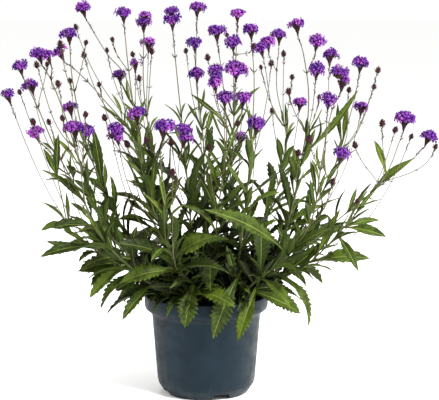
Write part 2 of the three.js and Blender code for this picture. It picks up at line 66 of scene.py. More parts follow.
def addNode(tree, kind, settings=None, links=None, output=None):
    # settings are the node's choices, its input values or a ramp's stops; links go to inputs from a socket
    # or from another node's first live output; the last argument is a node that this one feeds
    node = tree.nodes.new("ShaderNode" + kind)
    for key, value in (settings or {}).items():
        if key == "stops":
            ramp = node.color_ramp.elements
            ramp.remove(ramp[1])
            ramp[0].position, ramp[0].color = value[0][0], linearOf(value[0][1])
            for place, colour in value[1:]:
                ramp.new(place).color = linearOf(colour)
        elif isinstance(key, int) or key in node.inputs:
            node.inputs[key].default_value = linearOf(value) if isinstance(value, str) else value
        else:
            setattr(node, key, value)
    for key, source in (links or {}).items():
        if isinstance(source, bpy.types.Node):
            source = next(socket for socket in source.outputs if socket.enabled)
        tree.links.new(source, node.inputs[key])
    if output:
        tree.links.new(node.outputs[0], output.inputs[0])
    return node


def newMaterial(name):
    # a material, its tree of nodes and its output
    material = bpy.data.materials.new(name)
    material.use_nodes = True
    tree = material.node_tree
    tree.nodes.clear()
    return material, tree, addNode(tree, "OutputMaterial")


def unit(v):
    return v / np.linalg.norm(v)


def unitRows(rows):
    return rows / np.linalg.norm(rows, axis=1)[:, None]


def between(ends, share):
    # from the first of two values to the second
    return ends[0] + (ends[1] - ends[0]) * share


up = np.array([0.0, 0.0, 1.0])


def turnTo(face):
    # the smallest turn that brings +Z to face, as a 3 x 3 matrix
    return np.array(Vector(up).rotation_difference(Vector(face)).to_matrix())


# A batch is part of a mesh: points, faces that all have the same number of corners, the material's number,
# and for each point a place (three numbers that its material reads) and a tone from 0 to 1.
def batchOf(points, faces, material, place=None, tone=0.5):
    points = np.asarray(points, float)
    place = np.zeros((len(points), 3)) if place is None else np.asarray(place, float)
    return {"points": points, "faces": np.asarray(faces, int), "material": material, "place": place,
            "tone": np.broadcast_to(np.asarray(tone, float), (len(points),))}


# Many copies of one small shape: turns is N x 3 x 3 with the size in it, spots is N x 3.
def copiesOf(shape, turns, spots, tones, material):
    turns, spots = np.asarray(turns), np.asarray(spots)
    count, size = len(spots), len(shape["points"])
    points = np.einsum("nij,vj->nvi", turns, shape["points"]) + spots[:, None, :]
    steps = (np.arange(count) * size)[:, None, None]
    place = np.tile(shape["place"], (count, 1))
    return [
        batchOf(points.reshape(-1, 3), (faces[None] + steps).reshape(-1, faces.shape[1]), material, place,
                np.repeat(tones, size))
        for faces in shape["faces"]
    ]


def cellFaces(a, b, c, d):
    # two triangles for each cell of a grid, from the numbers of its four corners
    return [np.stack([a, b, c], -1).reshape(-1, 3), np.stack([a, c, d], -1).reshape(-1, 3)]


def ringFaces(rings, sides):
    # the cells between closed rings of points
    grid = (np.arange(rings) * sides)[:, None] + np.arange(sides)
    turned = np.roll(grid, -1, axis=1)
    return cellFaces(grid[:-1], turned[:-1], turned[1:], grid[1:])


def makePiece(name, batches, materials, nodes):
    # one mesh from its batches, with the given materials, which stands for CAD nodes and hides them
    def joined(parts, kind):
        return np.concatenate(parts).astype(kind).ravel()

    starts = np.cumsum([0] + [len(b["points"]) for b in batches])
    corners = joined([(b["faces"] + start).ravel() for b, start in zip(batches, starts)], np.int32)
    counts = joined([np.full(len(b["faces"]), b["faces"].shape[1]) for b in batches], np.int32)
    points = np.concatenate([b["points"] for b in batches]) / metre
    mesh = bpy.data.meshes.new(name)
    mesh.vertices.add(len(points))
    mesh.vertices.foreach_set("co", points.astype(np.float32).ravel())
    mesh.loops.add(len(corners))
    mesh.loops.foreach_set("vertex_index", corners)
    mesh.polygons.add(len(counts))
    mesh.polygons.foreach_set("loop_start", np.cumsum(counts, dtype=np.int32) - counts)
    mesh.polygons.foreach_set("material_index", joined(
        [np.full(len(b["faces"]), b["material"]) for b in batches], np.int32))
    mesh.polygons.foreach_set("use_smooth", np.ones(len(counts), bool))
    mesh.attributes.new("place", "FLOAT_VECTOR", "POINT").data.foreach_set(
        "vector", joined([b["place"] for b in batches], np.float32))
    mesh.attributes.new("tone", "FLOAT", "POINT").data.foreach_set(
        "value", joined([b["tone"] for b in batches], np.float32))
    mesh.update(calc_edges=True)
    mesh.validate()
    for material in materials:
        mesh.materials.append(material)
    piece = bpy.data.objects.new(name, mesh)
    bpy.context.scene.collection.objects.link(piece)
    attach(piece, "root")
    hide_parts(*nodes)
    return piece


# Camera, light and floor
studio = {
    "camera": (14, -1500, 410), "aim": (14, 0, 203), "lens": 118.9, "sensor": 36, "clipEnd": 50,
    "world": "#ffffff", "worldStrength": 1.02,
    "floor": {"Base Color": "#fbfbfa", "Roughness": 0.9, "Specular IOR Level": 0.2},
    "reach": 30, "drop": 0.0005,  # half the floor's side, and how far it lies under the pot, in metres
    "lightAim": (0, 0, 200),
    "lights": [  # place in mm, size in mm, strength in W
        {"name": "key", "place": (1000, -1100, 1500), "size": 600, "power": 95},
        {"name": "fill", "place": (-1300, -900, 900), "size": 1100, "power": 8},
        {"name": "side", "place": (1500, -700, 250), "size": 900, "power": 12},
        {"name": "back", "place": (-200, 1400, 1500), "size": 900, "power": 10},
    ],
}


def makeStudio(look):
    scene = bpy.context.scene
    scene.view_settings.view_transform = "Standard"

    def setUp(name, data, place, aim):
        # an object at its place that looks at its aim
        thing = bpy.data.objects.new(name, data)
        thing.location = Vector(place) / metre
        thing.rotation_euler = (Vector(aim) / metre - thing.location).to_track_quat("-Z", "Y").to_euler()
        scene.collection.objects.link(thing)
        return thing

    camera = bpy.data.cameras.new("camera")
    camera.lens = look["lens"]
    camera.sensor_width = look["sensor"]
    camera.sensor_fit = "HORIZONTAL"
    camera.clip_end = look["clipEnd"]
    scene.camera = setUp("camera", camera, look["camera"], look["aim"])
    for light in look["lights"]:
        lamp = bpy.data.lights.new(light["name"], "AREA")
        lamp.energy = light["power"]
        lamp.shape = "DISK"
        lamp.size = light["size"] / metre
        setUp(light["name"], lamp, light["place"], look["lightAim"])
    world = bpy.data.worlds.new("studio")
    world.use_nodes = True
    world.node_tree.nodes["Background"].inputs["Color"].default_value = linearOf(look["world"])
    world.node_tree.nodes["Background"].inputs["Strength"].default_value = look["worldStrength"]
    scene.world = world
    # a matt painted floor, far wider than the view, so that it runs on to the horizon
    material, tree, output = newMaterial("matt painted studio floor")
    addNode(tree, "BsdfPrincipled", look["floor"], {}, output)
    mesh = bpy.data.meshes.new("floor")
    sides = ((-1, -1), (1, -1), (1, 1), (-1, 1))
    corners = [(x * look["reach"], y * look["reach"], -look["drop"]) for x, y in sides]
    mesh.from_pydata(corners, [], [(0, 1, 2, 3)])
    mesh.materials.append(material)
    floor = bpy.data.objects.new("floor", mesh)
    scene.collection.objects.link(floor)


makeStudio(studio)
print("studio ready")


# The plant's plan: the same stems, heads and leaves as in the frame.
# Each stem: path from crown to top, blooms as clusters of [x, y, z, radius], bud heads as [x, y, z], and
# single leaves as [share of the stem's length, tip x, y, z, width].
shoots = {
    "left_back": {"crown": [-37, 6], "stems": [
        {"path": [[-74, -8, 130], [-109, -25, 154], [-136, -40, 174], [-146, -48, 215], [-154, -52, 256]],
         "blooms": [[[-170, -56, 279, 8]], [[-202, -25, 315, 7.5]]],
         "buds": [[-168, -88, 292], [-160, -25, 287]],
         "leaves": [[0.28, -131, -40, 135, 15], [0.45, -168, -54, 153, 10], [0.62, -168, -40, 177, 8],
                    [0.82, -163, -52, 263, 6], [0.82, -146, -66, 279, 6]]},
        {"path": [[-72, 20, 124], [-108, 28, 156], [-136, 48, 202], [-162, 62, 247], [-183, 72, 294]],
         "blooms": [[[-202, 75, 339, 8.5]], [[-193, 98, 317, 8.5]]],
         "buds": [[-199, 45, 313], [-176, 104, 340]],
         "leaves": [[0.47, -173, 10, 235, 9], [0.57, -148, 30, 236, 9]]}
    ]},
    "left_front": {"crown": [-30, -24], "stems": [
        {"path": [[-60, -28, 132], [-94, -28, 165], [-118, -35, 213], [-139, -38, 285], [-155, -35, 328]],
         "blooms": [[[-168, -32, 356, 8.5], [-159, -37, 355, 6]]],
         "buds": [[-166, -68, 347], [-146, -62, 328]]},
        {"path": [[-64, -50, 130], [-98, -65, 166], [-115, -94, 204], [-120, -115, 253]],
         "blooms": [[[-124, -122, 289, 10], [-113, -116, 286, 8]]],
         "buds": [[-134, -138, 300], [-111, -148, 304]],
         "leaves": [[0.17, -84, -74, 92, 11], [0.23, -92, -58, 118, 13], [0.33, -118, -62, 112, 11],
                    [0.58, -154, -66, 184, 9]]}
    ]},
    "left_middle": {"crown": [-20, 2], "stems": [
        {"path": [[-48, 6, 128], [-83, 10, 164], [-111, 2, 224], [-128, 0, 276], [-138, 2, 328]],
         "blooms": [[[-141, 5, 375, 8.5]], [[-152, 106, 292, 8]]],
         "buds": [[-126, 30, 366], [-147, -26, 366], [-145, 45, 325]], "leaves": [[0.5, -116, -10, 280, 9]]},
        {"path": [[-36, 2, 142], [-59, 0, 190], [-76, 12, 265], [-109, 22, 308], [-135, 28, 335]],
         "blooms": [[[-154, 30, 356, 8]], [[-87, -74, 277, 7], [-88, -73, 284, 8]]],
         "buds": [[-131, 58, 352], [-116, 66, 320], [-102, -36, 292], [-90, -106, 280]]}
    ]},
    "middle_back": {"crown": [-14, 28], "stems": [
        {"path": [[-30, 36, 136], [-52, 45, 180], [-73, 82, 258], [-88, 98, 323], [-110, 100, 352]],
         "blooms": [[[-136, 100, 401, 8.5]], [[-99, 140, 326, 8]]],
         "buds": [[-146, 126, 380], [-113, 142, 354]]},
        {"path": [[-24, 26, 138], [-37, 25, 183], [-57, 42, 251], [-67, 55, 314]],
         "blooms": [[[-67, 60, 386, 8], [-66, 60, 393, 7]], [[-64, 98, 363, 8]]],
         "buds": [[-80, 75, 352], [-57, 24, 357], [-75, 110, 324]]},
        {"path": [[-22, 46, 120], [-36, 62, 138]]}
    ]},
    "middle_left": {"crown": [-8, -10], "stems": [
        {"path": [[-30, -12, 140], [-56, -15, 200], [-70, -25, 279], [-78, -28, 340]],
         "blooms": [[[-83, -25, 397, 8]], [[-67, -82, 300, 8]], [[-74, 18, 345, 6.5]]],
         "buds": [[-96, -4, 370], [-78, -62, 268]]},
        {"path": [[-12, -5, 138], [-17, 0, 192], [-23, -10, 267], [-29, -15, 329]],
         "blooms": [[[-34, -20, 390, 8.5], [-35, -19, 398, 7]]], "buds": [[-35, -38, 267]]}
    ]},
    "front": {"crown": [-12, -36], "stems": [
        {"path": [[-22, -52, 122], [-31, -72, 150], [-39, -98, 179], [-38, -120, 220], [-42, -132, 260]],
         "blooms": [[[-39, -138, 291, 9.5]], [[-19, -107, 278, 7], [-20, -106, 285, 8]]],
         "buds": [[-30, -152, 250], [-56, -112, 276]],
         "leaves": [[0.32, -88, -110, 176, 16], [0.32, 10, -110, 184, 15]]},
        {"path": [[-12, -48, 112], [-12, -60, 126]], "leaves": [[1, -21, -77, 84, 17]]},
        {"path": [[-32, -50, 118], [-44, -58, 138]]}
    ]},
    "middle": {"crown": [6, 14], "stems": [
        {"path": [[0, 28, 132], [-2, 50, 185], [-4, 98, 257], [-12, 122, 321]],
         "blooms": [[[-11, 135, 401, 8.5]], [[-13, 92, 363, 8]], [[-10, 42, 333, 8]]],
         "buds": [[-24, 152, 353], [-7, 138, 258]]},
        {"path": [[8, -2, 136], [12, -20, 190], [21, -40, 270], [17, -45, 331]],
         "blooms": [[[11, -45, 379, 8.5]], [[9, -67, 329, 7.5], [10, -65, 335, 7], [10, -64, 341, 8]],
                    [[19, -106, 317, 8]]], "buds": [[2, -16, 352], [3, -72, 266], [32, -78, 290]]},
        {"path": [[-2, 0, 124], [-12, -14, 150]]}
    ]},
    "middle_right": {"crown": [22, -10], "stems": [
        {"path": [[22, 4, 132], [21, 18, 177], [28, 32, 252], [30, 35, 316]],
         "blooms": [[[33, 32, 396, 7]], [[28, 0, 367, 8]], [[31, -18, 340, 12]], [[38, -38, 312, 8]],
                    [[38, 158, 253, 8]]], "buds": [[22, 60, 373], [50, 46, 362]]},
        {"path": [[32, -16, 134], [39, -22, 183], [46, -5, 251], [51, 50, 320]],
         "blooms": [[[48, 70, 378, 8.5]], [[49, -130, 293, 8]]], "buds": [[70, 76, 342]]},
        {"path": [[27, -34, 114], [33, -56, 133]], "leaves": [[1, 7, -80, 74, 17]]},
        {"path": [[12, -26, 122], [2, -40, 148]]}
    ]},
    "right_back": {"crown": [30, 24], "stems": [
        {"path": [[44, 34, 124], [60, 45, 162], [87, 78, 247], [77, 98, 314]],
         "blooms": [[[80, 108, 372, 8.5]], [[66, 72, 365, 8], [58, 65, 359, 8]], [[106, 150, 294, 8]]],
         "buds": [[60, 122, 336], [92, 62, 328], [86, 134, 350], [73, 118, 287]]},
        {"path": [[52, 18, 124], [82, 10, 164], [101, 0, 255], [106, -5, 308], [101, -5, 351]],
         "blooms": [[[93, -2, 385, 8]], [[112, -32, 369, 8.5]], [[111, -46, 341, 8.5]]],
         "buds": [[84, -28, 318], [119, 26, 309], [94, -36, 256]]},
        {"path": [[26, 46, 120], [22, 62, 140]]}
    ]},
    "right_front": {"crown": [26, -34], "stems": [
        {"path": [[50, -52, 126], [81, -72, 156], [104, -98, 197], [114, -92, 255], [124, -78, 301]],
         "blooms": [[[136, -66, 330, 8], [132, -70, 338, 11]], [[127, -10, 354, 8.5]],
                    [[118, -120, 316, 8]], [[128, -148, 268, 8]]],
         "buds": [[123, -116, 236], [100, -118, 278]],
         "leaves": [[0.33, 0, -124, 212, 13], [0.33, 123, -94, 188, 12]]},
        {"path": [[40, -44, 110], [52, -52, 120]], "leaves": [[1, 32, -76, 70, 13], [0.8, 97, -50, 93, 15]]}
    ]},
    "right": {"crown": [40, 2], "stems": [
        {"path": [[64, 18, 128], [98, 38, 163], [136, 60, 225], [158, 72, 294]],
         "blooms": [[[167, 78, 342, 9]], [[174, 125, 291, 8]]],
         "buds": [[152, 46, 315], [188, 95, 334], [180, 58, 318]]},
        {"path": [[66, -12, 120], [104, -32, 141], [141, -50, 183], [179, -55, 233], [194, -52, 268]],
         "blooms": [[[200, -50, 292, 10.5]]],
         "buds": [[174, -78, 290], [210, -24, 272], [148, -74, 268], [150, -84, 214]],
         "leaves": [[0.34, 168, -46, 150, 12], [0.51, 152, -82, 142, 9], [0.55, 182, -60, 174, 9],
                    [0.55, 178, -30, 186, 8], [0.82, 169, -50, 271, 7]]},
        {"path": [[70, 6, 124], [106, 22, 150], [167, 38, 198], [212, 40, 234]],
         "blooms": [[[237, 38, 266, 8.5]]], "buds": [[204, 62, 271], [240, 10, 258]],
         "leaves": [[0.7, 222, 20, 246, 9]]}
    ]},
}

growth = {
    "soilTop": 94, "rimRadius": 65, "potHeight": 104,
    "crownUp": 4,  # how far above the soil the curves of stems start
    "clearance": 0.3, "calyxLength": 8, "calyxDrop": 0.42, "budLength": 7, "budSteps": (-3.5, -0.35, 3.5),
    "firstNode": 14, "nodeShift": 2, "firstInternode": 27, "internodeGrowth": 7, "lastNode": 8,
    "leafyShare": 0.62, "markGap": 12,  # how far nodes keep from the single leaves
    # a head has no stalk of its own where another of its cluster lies this far below and near beside it
    "stacked": (4, 8),
    "forkRise": 16, "forkSlope": 1.1, "bend": 0.35, "headTilt": 0.35, "headUp": 0.7,
    "leafFold": 0.22, "leafSample": 3.6, "leafColumn": 1.8, "leafFrom": 5,
    # room kept round leaves, stems, the ends of stalks and open heads
    "leafRoom": 1.9, "stemRoom": 1.7, "endRoom": 3.4, "headRoom": 1, "sampleGap": 3, "view": 60,
    "footFree": 9,  # so much of a leaf may touch its own stem
    # how high leaves keep over the soil, the rim and the ground, and how wide the rim counts for that
    "floorRooms": (4, 3, 3), "rimInside": 7, "rimOutside": 4,
    # how far a leaf may turn, and to what share of its length it may shrink, to find room
    "secondChoices": [(0, 1), (0.4, 0.94), (-0.4, 0.94), (0.8, 0.85), (-0.8, 0.85), (0, 0.72), (0.5, 0.6),
                      (-0.5, 0.6)],
}
curveSteps = 200


def onSegments(places, t):
    # a point of the Catmull-Rom curve through the places
    last = len(places) - 1
    i = min(int(last * t), last - 1)
    w = last * t - i
    before = places[i - 1] if i else 2 * places[0] - places[1]
    after = places[i + 2] if i + 2 <= last else 2 * places[last] - places[last - 1]
    start, end = places[i], places[i + 1]
    leave, arrive = 0.5 * (end - before), 0.5 * (after - start)
    return (start + leave * w + (3 * (end - start) - 2 * leave - arrive) * w ** 2
            + (2 * (start - end) + leave + arrive) * w ** 3)


def curveThrough(places):
    # the places with a table of lengths along the curve
    places = np.array(places, float)
    steps = np.array([onSegments(places, k / curveSteps) for k in range(curveSteps + 1)])
    lengths = np.concatenate([[0], np.linalg.norm(np.diff(steps, axis=0), axis=1).cumsum()])
    return {"places": places, "lengths": lengths, "length": lengths[-1]}


def rawShare(curve, share):
    # the share of the curve's own steps at a share of its length
    return float(np.interp(share * curve["length"], curve["lengths"], np.linspace(0, 1, curveSteps + 1)))


def pointAt(curve, share):
    return onSegments(curve["places"], rawShare(curve, share))


def tangentAt(curve, share):
    t = rawShare(curve, share)
    ahead, behind = min(t + 1e-4, 1), max(t - 1e-4, 0)
    return unit(onSegments(curve["places"], ahead) - onSegments(curve["places"], behind))


def spacedPoints(curve):
    count = int(curve["length"] / growth["sampleGap"] + 0.5)
    return [pointAt(curve, k / count) for k in range(count + 1)]


def bezier(bends, t):
    a, b, c, d = bends
    return a * (1 - t) ** 3 + 3 * b * t * (1 - t) ** 2 + 3 * c * t * t * (1 - t) + d * t ** 3


def calyxFoot(place, radius, face):
    # where a head's calyces start, and where they end under the florets
    top = place - face * (growth["calyxDrop"] * radius + growth["clearance"])
    return top - face * growth["calyxLength"], top


def nodesOf(length, number):
    # shares of the stem's length, wider apart towards the top
    shares, internode = [], growth["firstInternode"]
    along = growth["firstNode"] + growth["nodeShift"] * (number % 5)
    while along < length - growth["lastNode"]:
        shares.append(along / length)
        internode += growth["internodeGrowth"]
        along += internode
    return shares


def forkFor(curve, nodes, place):
    # the node from which a stalk rises to the place at the usual slope
    def miss(share):
        start = pointAt(curve, share)
        reach = math.hypot(place[0] - start[0], place[1] - start[1])
        return abs(place[2] - start[2] - growth["forkRise"] - growth["forkSlope"] * reach)
    return min(nodes[1:], key=miss)


def sideStalk(curve, nodes, place, footOf):
    # a stalk that swings out from its stem and turns up into its head
    share = forkFor(curve, nodes, place)
    start = pointAt(curve, share)
    out = unit(np.array([place[0] - start[0], place[1] - start[1], 0.0]))
    face = unit(out * growth["headTilt"] + up)
    foot = footOf(place, face)
    reach = np.linalg.norm(foot - start)
    return {"face": face, "bends": [
        start, start + unit(tangentAt(curve, share) * 0.5 + out * 0.6) * reach * growth["bend"],
        foot - face * reach * growth["bend"], foot]}


def growStem(stem, crown, number):
    # a stem's curve, nodes, open heads, closed heads and side stalks
    heads, stalks, buds = [], [], []
    places = [[*crown, growth["soilTop"] + growth["crownUp"]]] + stem["path"]
    rise, beside = growth["stacked"]
    for group, cluster in enumerate(stem.get("blooms", [])):
        for x, y, z, radius in cluster:
            stands = not any(z - low > rise and math.hypot(x - a, y - b) < beside
                             for a, b, low, _ in cluster)
            heads.append({"place": np.array([x, y, z], float), "radius": radius, "group": group,
                          "stands": stands})
    if heads:
        top = heads[0]
        top["face"] = unit(unit(top["place"] - np.array(places[-1], float)) + growth["headUp"] * up)
        places.append(calyxFoot(top["place"], top["radius"], top["face"])[0])
    curve = curveThrough(places)
    singles = stem.get("leaves", [])
    nodes = [share for share in nodesOf(curve["length"], number)
             if all(abs(share - leaf[0]) * curve["length"] > growth["markGap"] for leaf in singles)]
    for i, head in enumerate(heads[1:], 1):
        side = sideStalk(curve, nodes, head["place"],
                         lambda place, face: calyxFoot(place, head["radius"], face)[0])
        head["face"] = side["face"] if head["stands"] else heads[i - 1]["face"]
        if head["stands"]:
            stalks.append({**side, "end": calyxFoot(head["place"], head["radius"], side["face"])})
    for place in np.array(stem.get("buds", []), float):
        side = sideStalk(curve, nodes, place, lambda spot, face: spot - face * growth["budLength"] / 2)
        stalks.append({**side, "end": [place + side["face"] * step for step in growth["budSteps"]]})
        buds.append({"place": place, "face": side["face"]})
    return {"number": number, "curve": curve, "nodes": nodes, "heads": heads, "stalks": stalks, "buds": buds,
            "singles": singles, "leafy": growth["leafyShare"] if heads else 1}


def halfWidth(width, t):
    return width / 2 * (0.3 * (1 - t) + 0.95 * np.sin(np.pi * t ** 1.3))


def bladePoints(leaf, t, across, lift=0):
    # points of a leaf's blade: t is the share of its length, across the distance from its midrib
    chord = leaf["tip"] - leaf["base"]
    side = unit(np.cross(chord, leaf["facing"]))
    rise = leaf["arch"] * np.linalg.norm(chord) * 4 * t * (1 - t) + growth["leafFold"] * abs(across) + lift
    return (leaf["base"] + np.outer(t, chord) + np.outer(across, side)
            + np.outer(rise, unit(np.cross(side, chord))))


def samplesOf(leaf):
    # points all over a leaf, with their distances from its base
    length = np.linalg.norm(leaf["tip"] - leaf["base"])
    shares, across, alongs = [], [], []
    along = growth["leafFrom"]
    while along < length + 1:
        t = min(along / length, 1)
        half = halfWidth(leaf["width"], t)
        columns = max(1, int(half / growth["leafColumn"] + 0.5))
        for c in range(-columns, columns + 1):
            shares.append(t)
            across.append(half * c / columns)
            alongs.append(along)
        along += growth["leafSample"]
    return bladePoints(leaf, np.array(shares), np.array(across)), np.array(alongs)


def floorAt(radius):
    # the lowest that a leaf may pass at a distance from the pot's axis
    rim, rooms = growth["rimRadius"], growth["floorRooms"]
    return np.where(radius < rim - growth["rimInside"], growth["soilTop"] + rooms[0],
                    np.where(radius < rim + growth["rimOutside"], growth["potHeight"] + rooms[1], rooms[2]))


filled = {"places": np.zeros((0, 3)), "rooms": np.zeros(0), "stems": np.zeros(0)}


def keepClear(places, room, number):
    filled["places"] = np.vstack([filled["places"], places])
    filled["rooms"] = np.append(filled["rooms"], np.full(len(places), room))
    filled["stems"] = np.append(filled["stems"], np.full(len(places), number))


def isClear(leaf, number, room, ease=1, view=growth["view"]):
    # whether a leaf of stem number clears the floor and all that is near; ease is the share of others' room
    places, alongs = samplesOf(leaf)
    if (places[:, 2] < floorAt(np.hypot(places[:, 0], places[:, 1]))).any():
        return False
    near = (np.abs(filled["places"] - places.mean(0)) < view).all(1)
    gaps = np.linalg.norm(places[:, None] - filled["places"][near][None], axis=2)
    own = (alongs < growth["footFree"])[:, None] & (filled["stems"][near] == number)[None]
    return bool((own | (gaps > room + filled["rooms"][near] * ease)).all())


def addLeaf(leaves, leaf, number, room=growth["leafRoom"]):
    keepClear(samplesOf(leaf)[0], room, number)
    leaves.append(leaf)


def singleLeaves(stem):
    # the leaves that the plan places one by one
    leaves = []
    for share, x, y, z, width in stem["singles"]:
        addLeaf(leaves, {"base": pointAt(stem["curve"], share), "tip": np.array([x, y, z], float),
                         "width": width, "facing": np.array([0, -0.75, 0.65]), "arch": 0.1,
                         "height": 0 if stem["leafy"] == 1 else min(share / growth["leafyShare"], 1)},
                stem["number"])
    return leaves


firstAcross = np.array([0.6, -0.8, 0.0])


def wayOut(tangent, angle, lean=0):
    # a direction at an angle round a stem, which leans along the stem
    across = unit(firstAcross - tangent * firstAcross.dot(tangent))
    beside = np.cross(tangent, across)
    way = (across * math.cos(angle) + beside * math.sin(angle)) * math.cos(lean)
    return way + tangent * math.sin(lean)


# Opposite pairs of leaves: pairs of values are for the foot and the top of the leafy stretch
pairForm = {
    "long": (66, 30), "slim": (0.25, 0.15), "lean": (0.25, 1.05), "arch": (0.12, 0.06),
    "uneven": (0.88, 0.24),  # the least share of the length, and how much a draw adds
    "leanMore": 0.2, "roll": 1.3, "lift": 0.1, "sag": 0.25,
    "lowBelow": 60, "lowHeight": 0.1,  # near the soil, leaves count as low however short the stem is
    "seed": (7919, 17), "draw": (16807, 2147483647),
}


def pairedLeaves(stem):
    # opposite pairs up the stem, each turned a quarter from the last
    curve, leaves, form = stem["curve"], [], pairForm
    state = stem["number"] * form["seed"][0] + form["seed"][1]

    def draw():
        nonlocal state
        state = state * form["draw"][0] % form["draw"][1]
        return state / form["draw"][1]

    turn = draw() * math.pi
    stem["turns"] = {}
    for share in [node for node in stem["nodes"] if node < stem["leafy"]]:
        low = share * curve["length"] < form["lowBelow"]
        height = form["lowHeight"] if low else share / stem["leafy"]
        base, tangent = pointAt(curve, share), tangentAt(curve, share)
        stem["turns"][share] = turn
        for opposite in (0, math.pi):
            long = between(form["long"], height) * (form["uneven"][0] + form["uneven"][1] * draw())
            wide = long * between(form["slim"], height)
            lean = between(form["lean"], height) + form["leanMore"] * draw()
            roll = np.array([draw() - 0.5, draw() - 0.8, 0])
            for swing, scale in growth["secondChoices"]:
                way = wayOut(tangent, turn + opposite + swing, lean)
                way[2] += form["lift"] - form["sag"] * (1 - height)
                leaf = {"base": base, "tip": base + unit(way) * long * scale, "width": wide * scale,
                        "facing": unit(tangent + up + roll * form["roll"]),
                        "arch": between(form["arch"], height), "height": height}
                if isClear(leaf, stem["number"], growth["leafRoom"]):
                    addLeaf(leaves, leaf, stem["number"])
                    break
        turn += math.pi / 2
    return leaves


plants, number = {}, 0
for name, shoot in shoots.items():
    plants[name] = []
    for stem in shoot["stems"]:
        number += 1
        plants[name].append(growStem(stem, shoot["crown"], number))
allStems = [stem for stems in plants.values() for stem in stems]
for stem in allStems:
    keepClear(spacedPoints(stem["curve"]), growth["stemRoom"], stem["number"])
    for stalk in stem["stalks"]:
        route = curveThrough([stalk["bends"][0], bezier(stalk["bends"], 0.5), *stalk["end"]])
        keepClear(spacedPoints(route), growth["stemRoom"], stem["number"])
        keepClear([stalk["end"][-2]], growth["endRoom"], stem["number"])
    for head in stem["heads"]:
        keepClear([head["place"]], head["radius"] + growth["headRoom"], stem["number"])
for stem in allStems:
    stem["leaves"] = singleLeaves(stem)
for stem in allStems:
    stem["leaves"] += pairedLeaves(stem)
print("plan:", len(allStems), "stems,", sum(len(stem["leaves"]) for stem in allStems), "leaves")


# Blades: leaves, bracts and calyx teeth are all closed thin blades on a grid of rows and columns.
# The frame turns shares of the length, distances from the midrib and lifts into points.
plainBlade = {
    "hook": 0, "veins": 1, "seed": 0, "toothBegin": 0, "toothEnd": 1, "fold": 0, "twist": 0, "quilt": 0,
    "wave": 0, "droop": 0, "groove": 0,
    # the powers by which margins, the points of teeth, the edge and waves fade towards the midrib
    "marginFade": 3, "hookFade": 4, "edgeFade": 4, "waveFade": 2,
    # where side veins start, how far they are swept forward, and how the blade swells between them
    "veinShift": 0.9, "veinSweep": 1.25, "swellRise": 4, "swellEnd": 1.15,
    "waveTurns": 9.5, "waveOffset": 2, "twistFrom": 0.25, "droopFrom": 0.6, "grooveWide": 0.15,
    # the midrib: its depth at the foot, what is lost of it by the tip, its width, and how it narrows
    "keelDeep": 1.1, "keelLess": 0.8, "keelWide": 0.2, "ribLess": 0.5, "ribLeast": 0.35,
}


def bladeBatch(frameOf, length, width, rows, columns, look):
    look = {**plainBlade, **look}
    t = np.array([row[0] for row in rows])
    u = np.array(columns, float)
    far = np.abs(u)[None]
    # each row says how far its left and right margins reach
    margin = np.where(u[None] < 0, [[row[1]] for row in rows], [[row[2]] for row in rows])
    half = look["half"](width, t)[:, None]
    across = u[None] * half * (1 + (margin - 1) * far ** look["marginFade"])
    # the points of teeth lean towards the tip
    hook = np.clip(margin - 1, 0, 1) * far ** look["hookFade"] * look["hook"]
    along = np.clip(t[:, None] + hook / length, 0, 1)
    step = (look["toothEnd"] - look["toothBegin"]) / look["veins"]
    phase = (along - look["toothBegin"]) / step - look["veinShift"] + (1 - far) * look["veinSweep"]
    swell = np.minimum(1, look["swellRise"] * far * (look["swellEnd"] - far))
    quilt = np.sin(np.pi * (phase % 1)) * swell
    wave = np.sin(look["waveTurns"] * along + look["seed"] + look["waveOffset"] * (u[None] > 0))
    wave = wave * far ** look["waveFade"]
    late = np.clip(along - look["droopFrom"], 0, 1) / (1 - look["droopFrom"])
    lift = (look["fold"] * np.abs(across) + look["twist"] * across * (along - look["twistFrom"])
            + look["quilt"] * width * quilt + look["wave"] * width * wave - look["droop"] * length * late ** 2
            - look["groove"] * np.clip(1 - far / look["grooveWide"], 0, 1))
    keel = look["thick"] * (look["keelDeep"] - look["keelLess"] * along)
    keel = keel * np.clip(1 - far / look["keelWide"], 0, 1)
    below = lift - look["edge"] * (1 - far ** look["edgeFade"]) - keel
    count, wide = across.shape
    inner = slice(1, wide - 1)
    points = np.concatenate([
        frameOf(along.ravel(), across.ravel(), lift.ravel()),
        frameOf(along[:, inner].ravel(), across[:, inner].ravel(), below[:, inner].ravel()),
        frameOf(np.ones(1), np.zeros(1), lift[-1:, wide // 2]),
    ])
    grid = np.arange(count * wide).reshape(count, wide)
    under = grid.copy()
    under[:, inner] = count * wide + np.arange(count * (wide - 2)).reshape(count, wide - 2)
    tip = len(points) - 1
    faces = []
    for sheet in (grid, under[:, ::-1]):
        faces += cellFaces(sheet[:-1, :-1], sheet[:-1, 1:], sheet[1:, 1:], sheet[1:, :-1])
        faces.append([[sheet[-1, j], sheet[-1, j + 1], tip] for j in range(wide - 1)])
    # the blade's foot, closed between its upper and lower side
    over, low = grid[0], under[0]
    faces.append([[over[1], over[0], low[1]], [over[-1], over[-2], low[-2]]])
    for j in range(1, wide - 2):
        faces.append([[over[j + 1], over[j], low[j]], [over[j + 1], low[j], low[j + 1]]])
    # what the material reads: distance from the midrib, phase between the side veins, and the lower side
    rib = np.abs(across) / np.maximum(look["ribLeast"], 1 - look["ribLess"] * along)
    place = np.concatenate([
        np.stack([rib.ravel(), phase.ravel(), 0 * rib.ravel()], -1),
        np.stack([rib[:, inner].ravel(), phase[:, inner].ravel(), 1 + 0 * rib[:, inner].ravel()], -1),
        [[0, phase[-1, wide // 2], 0]],
    ])
    return points, np.concatenate(faces), place


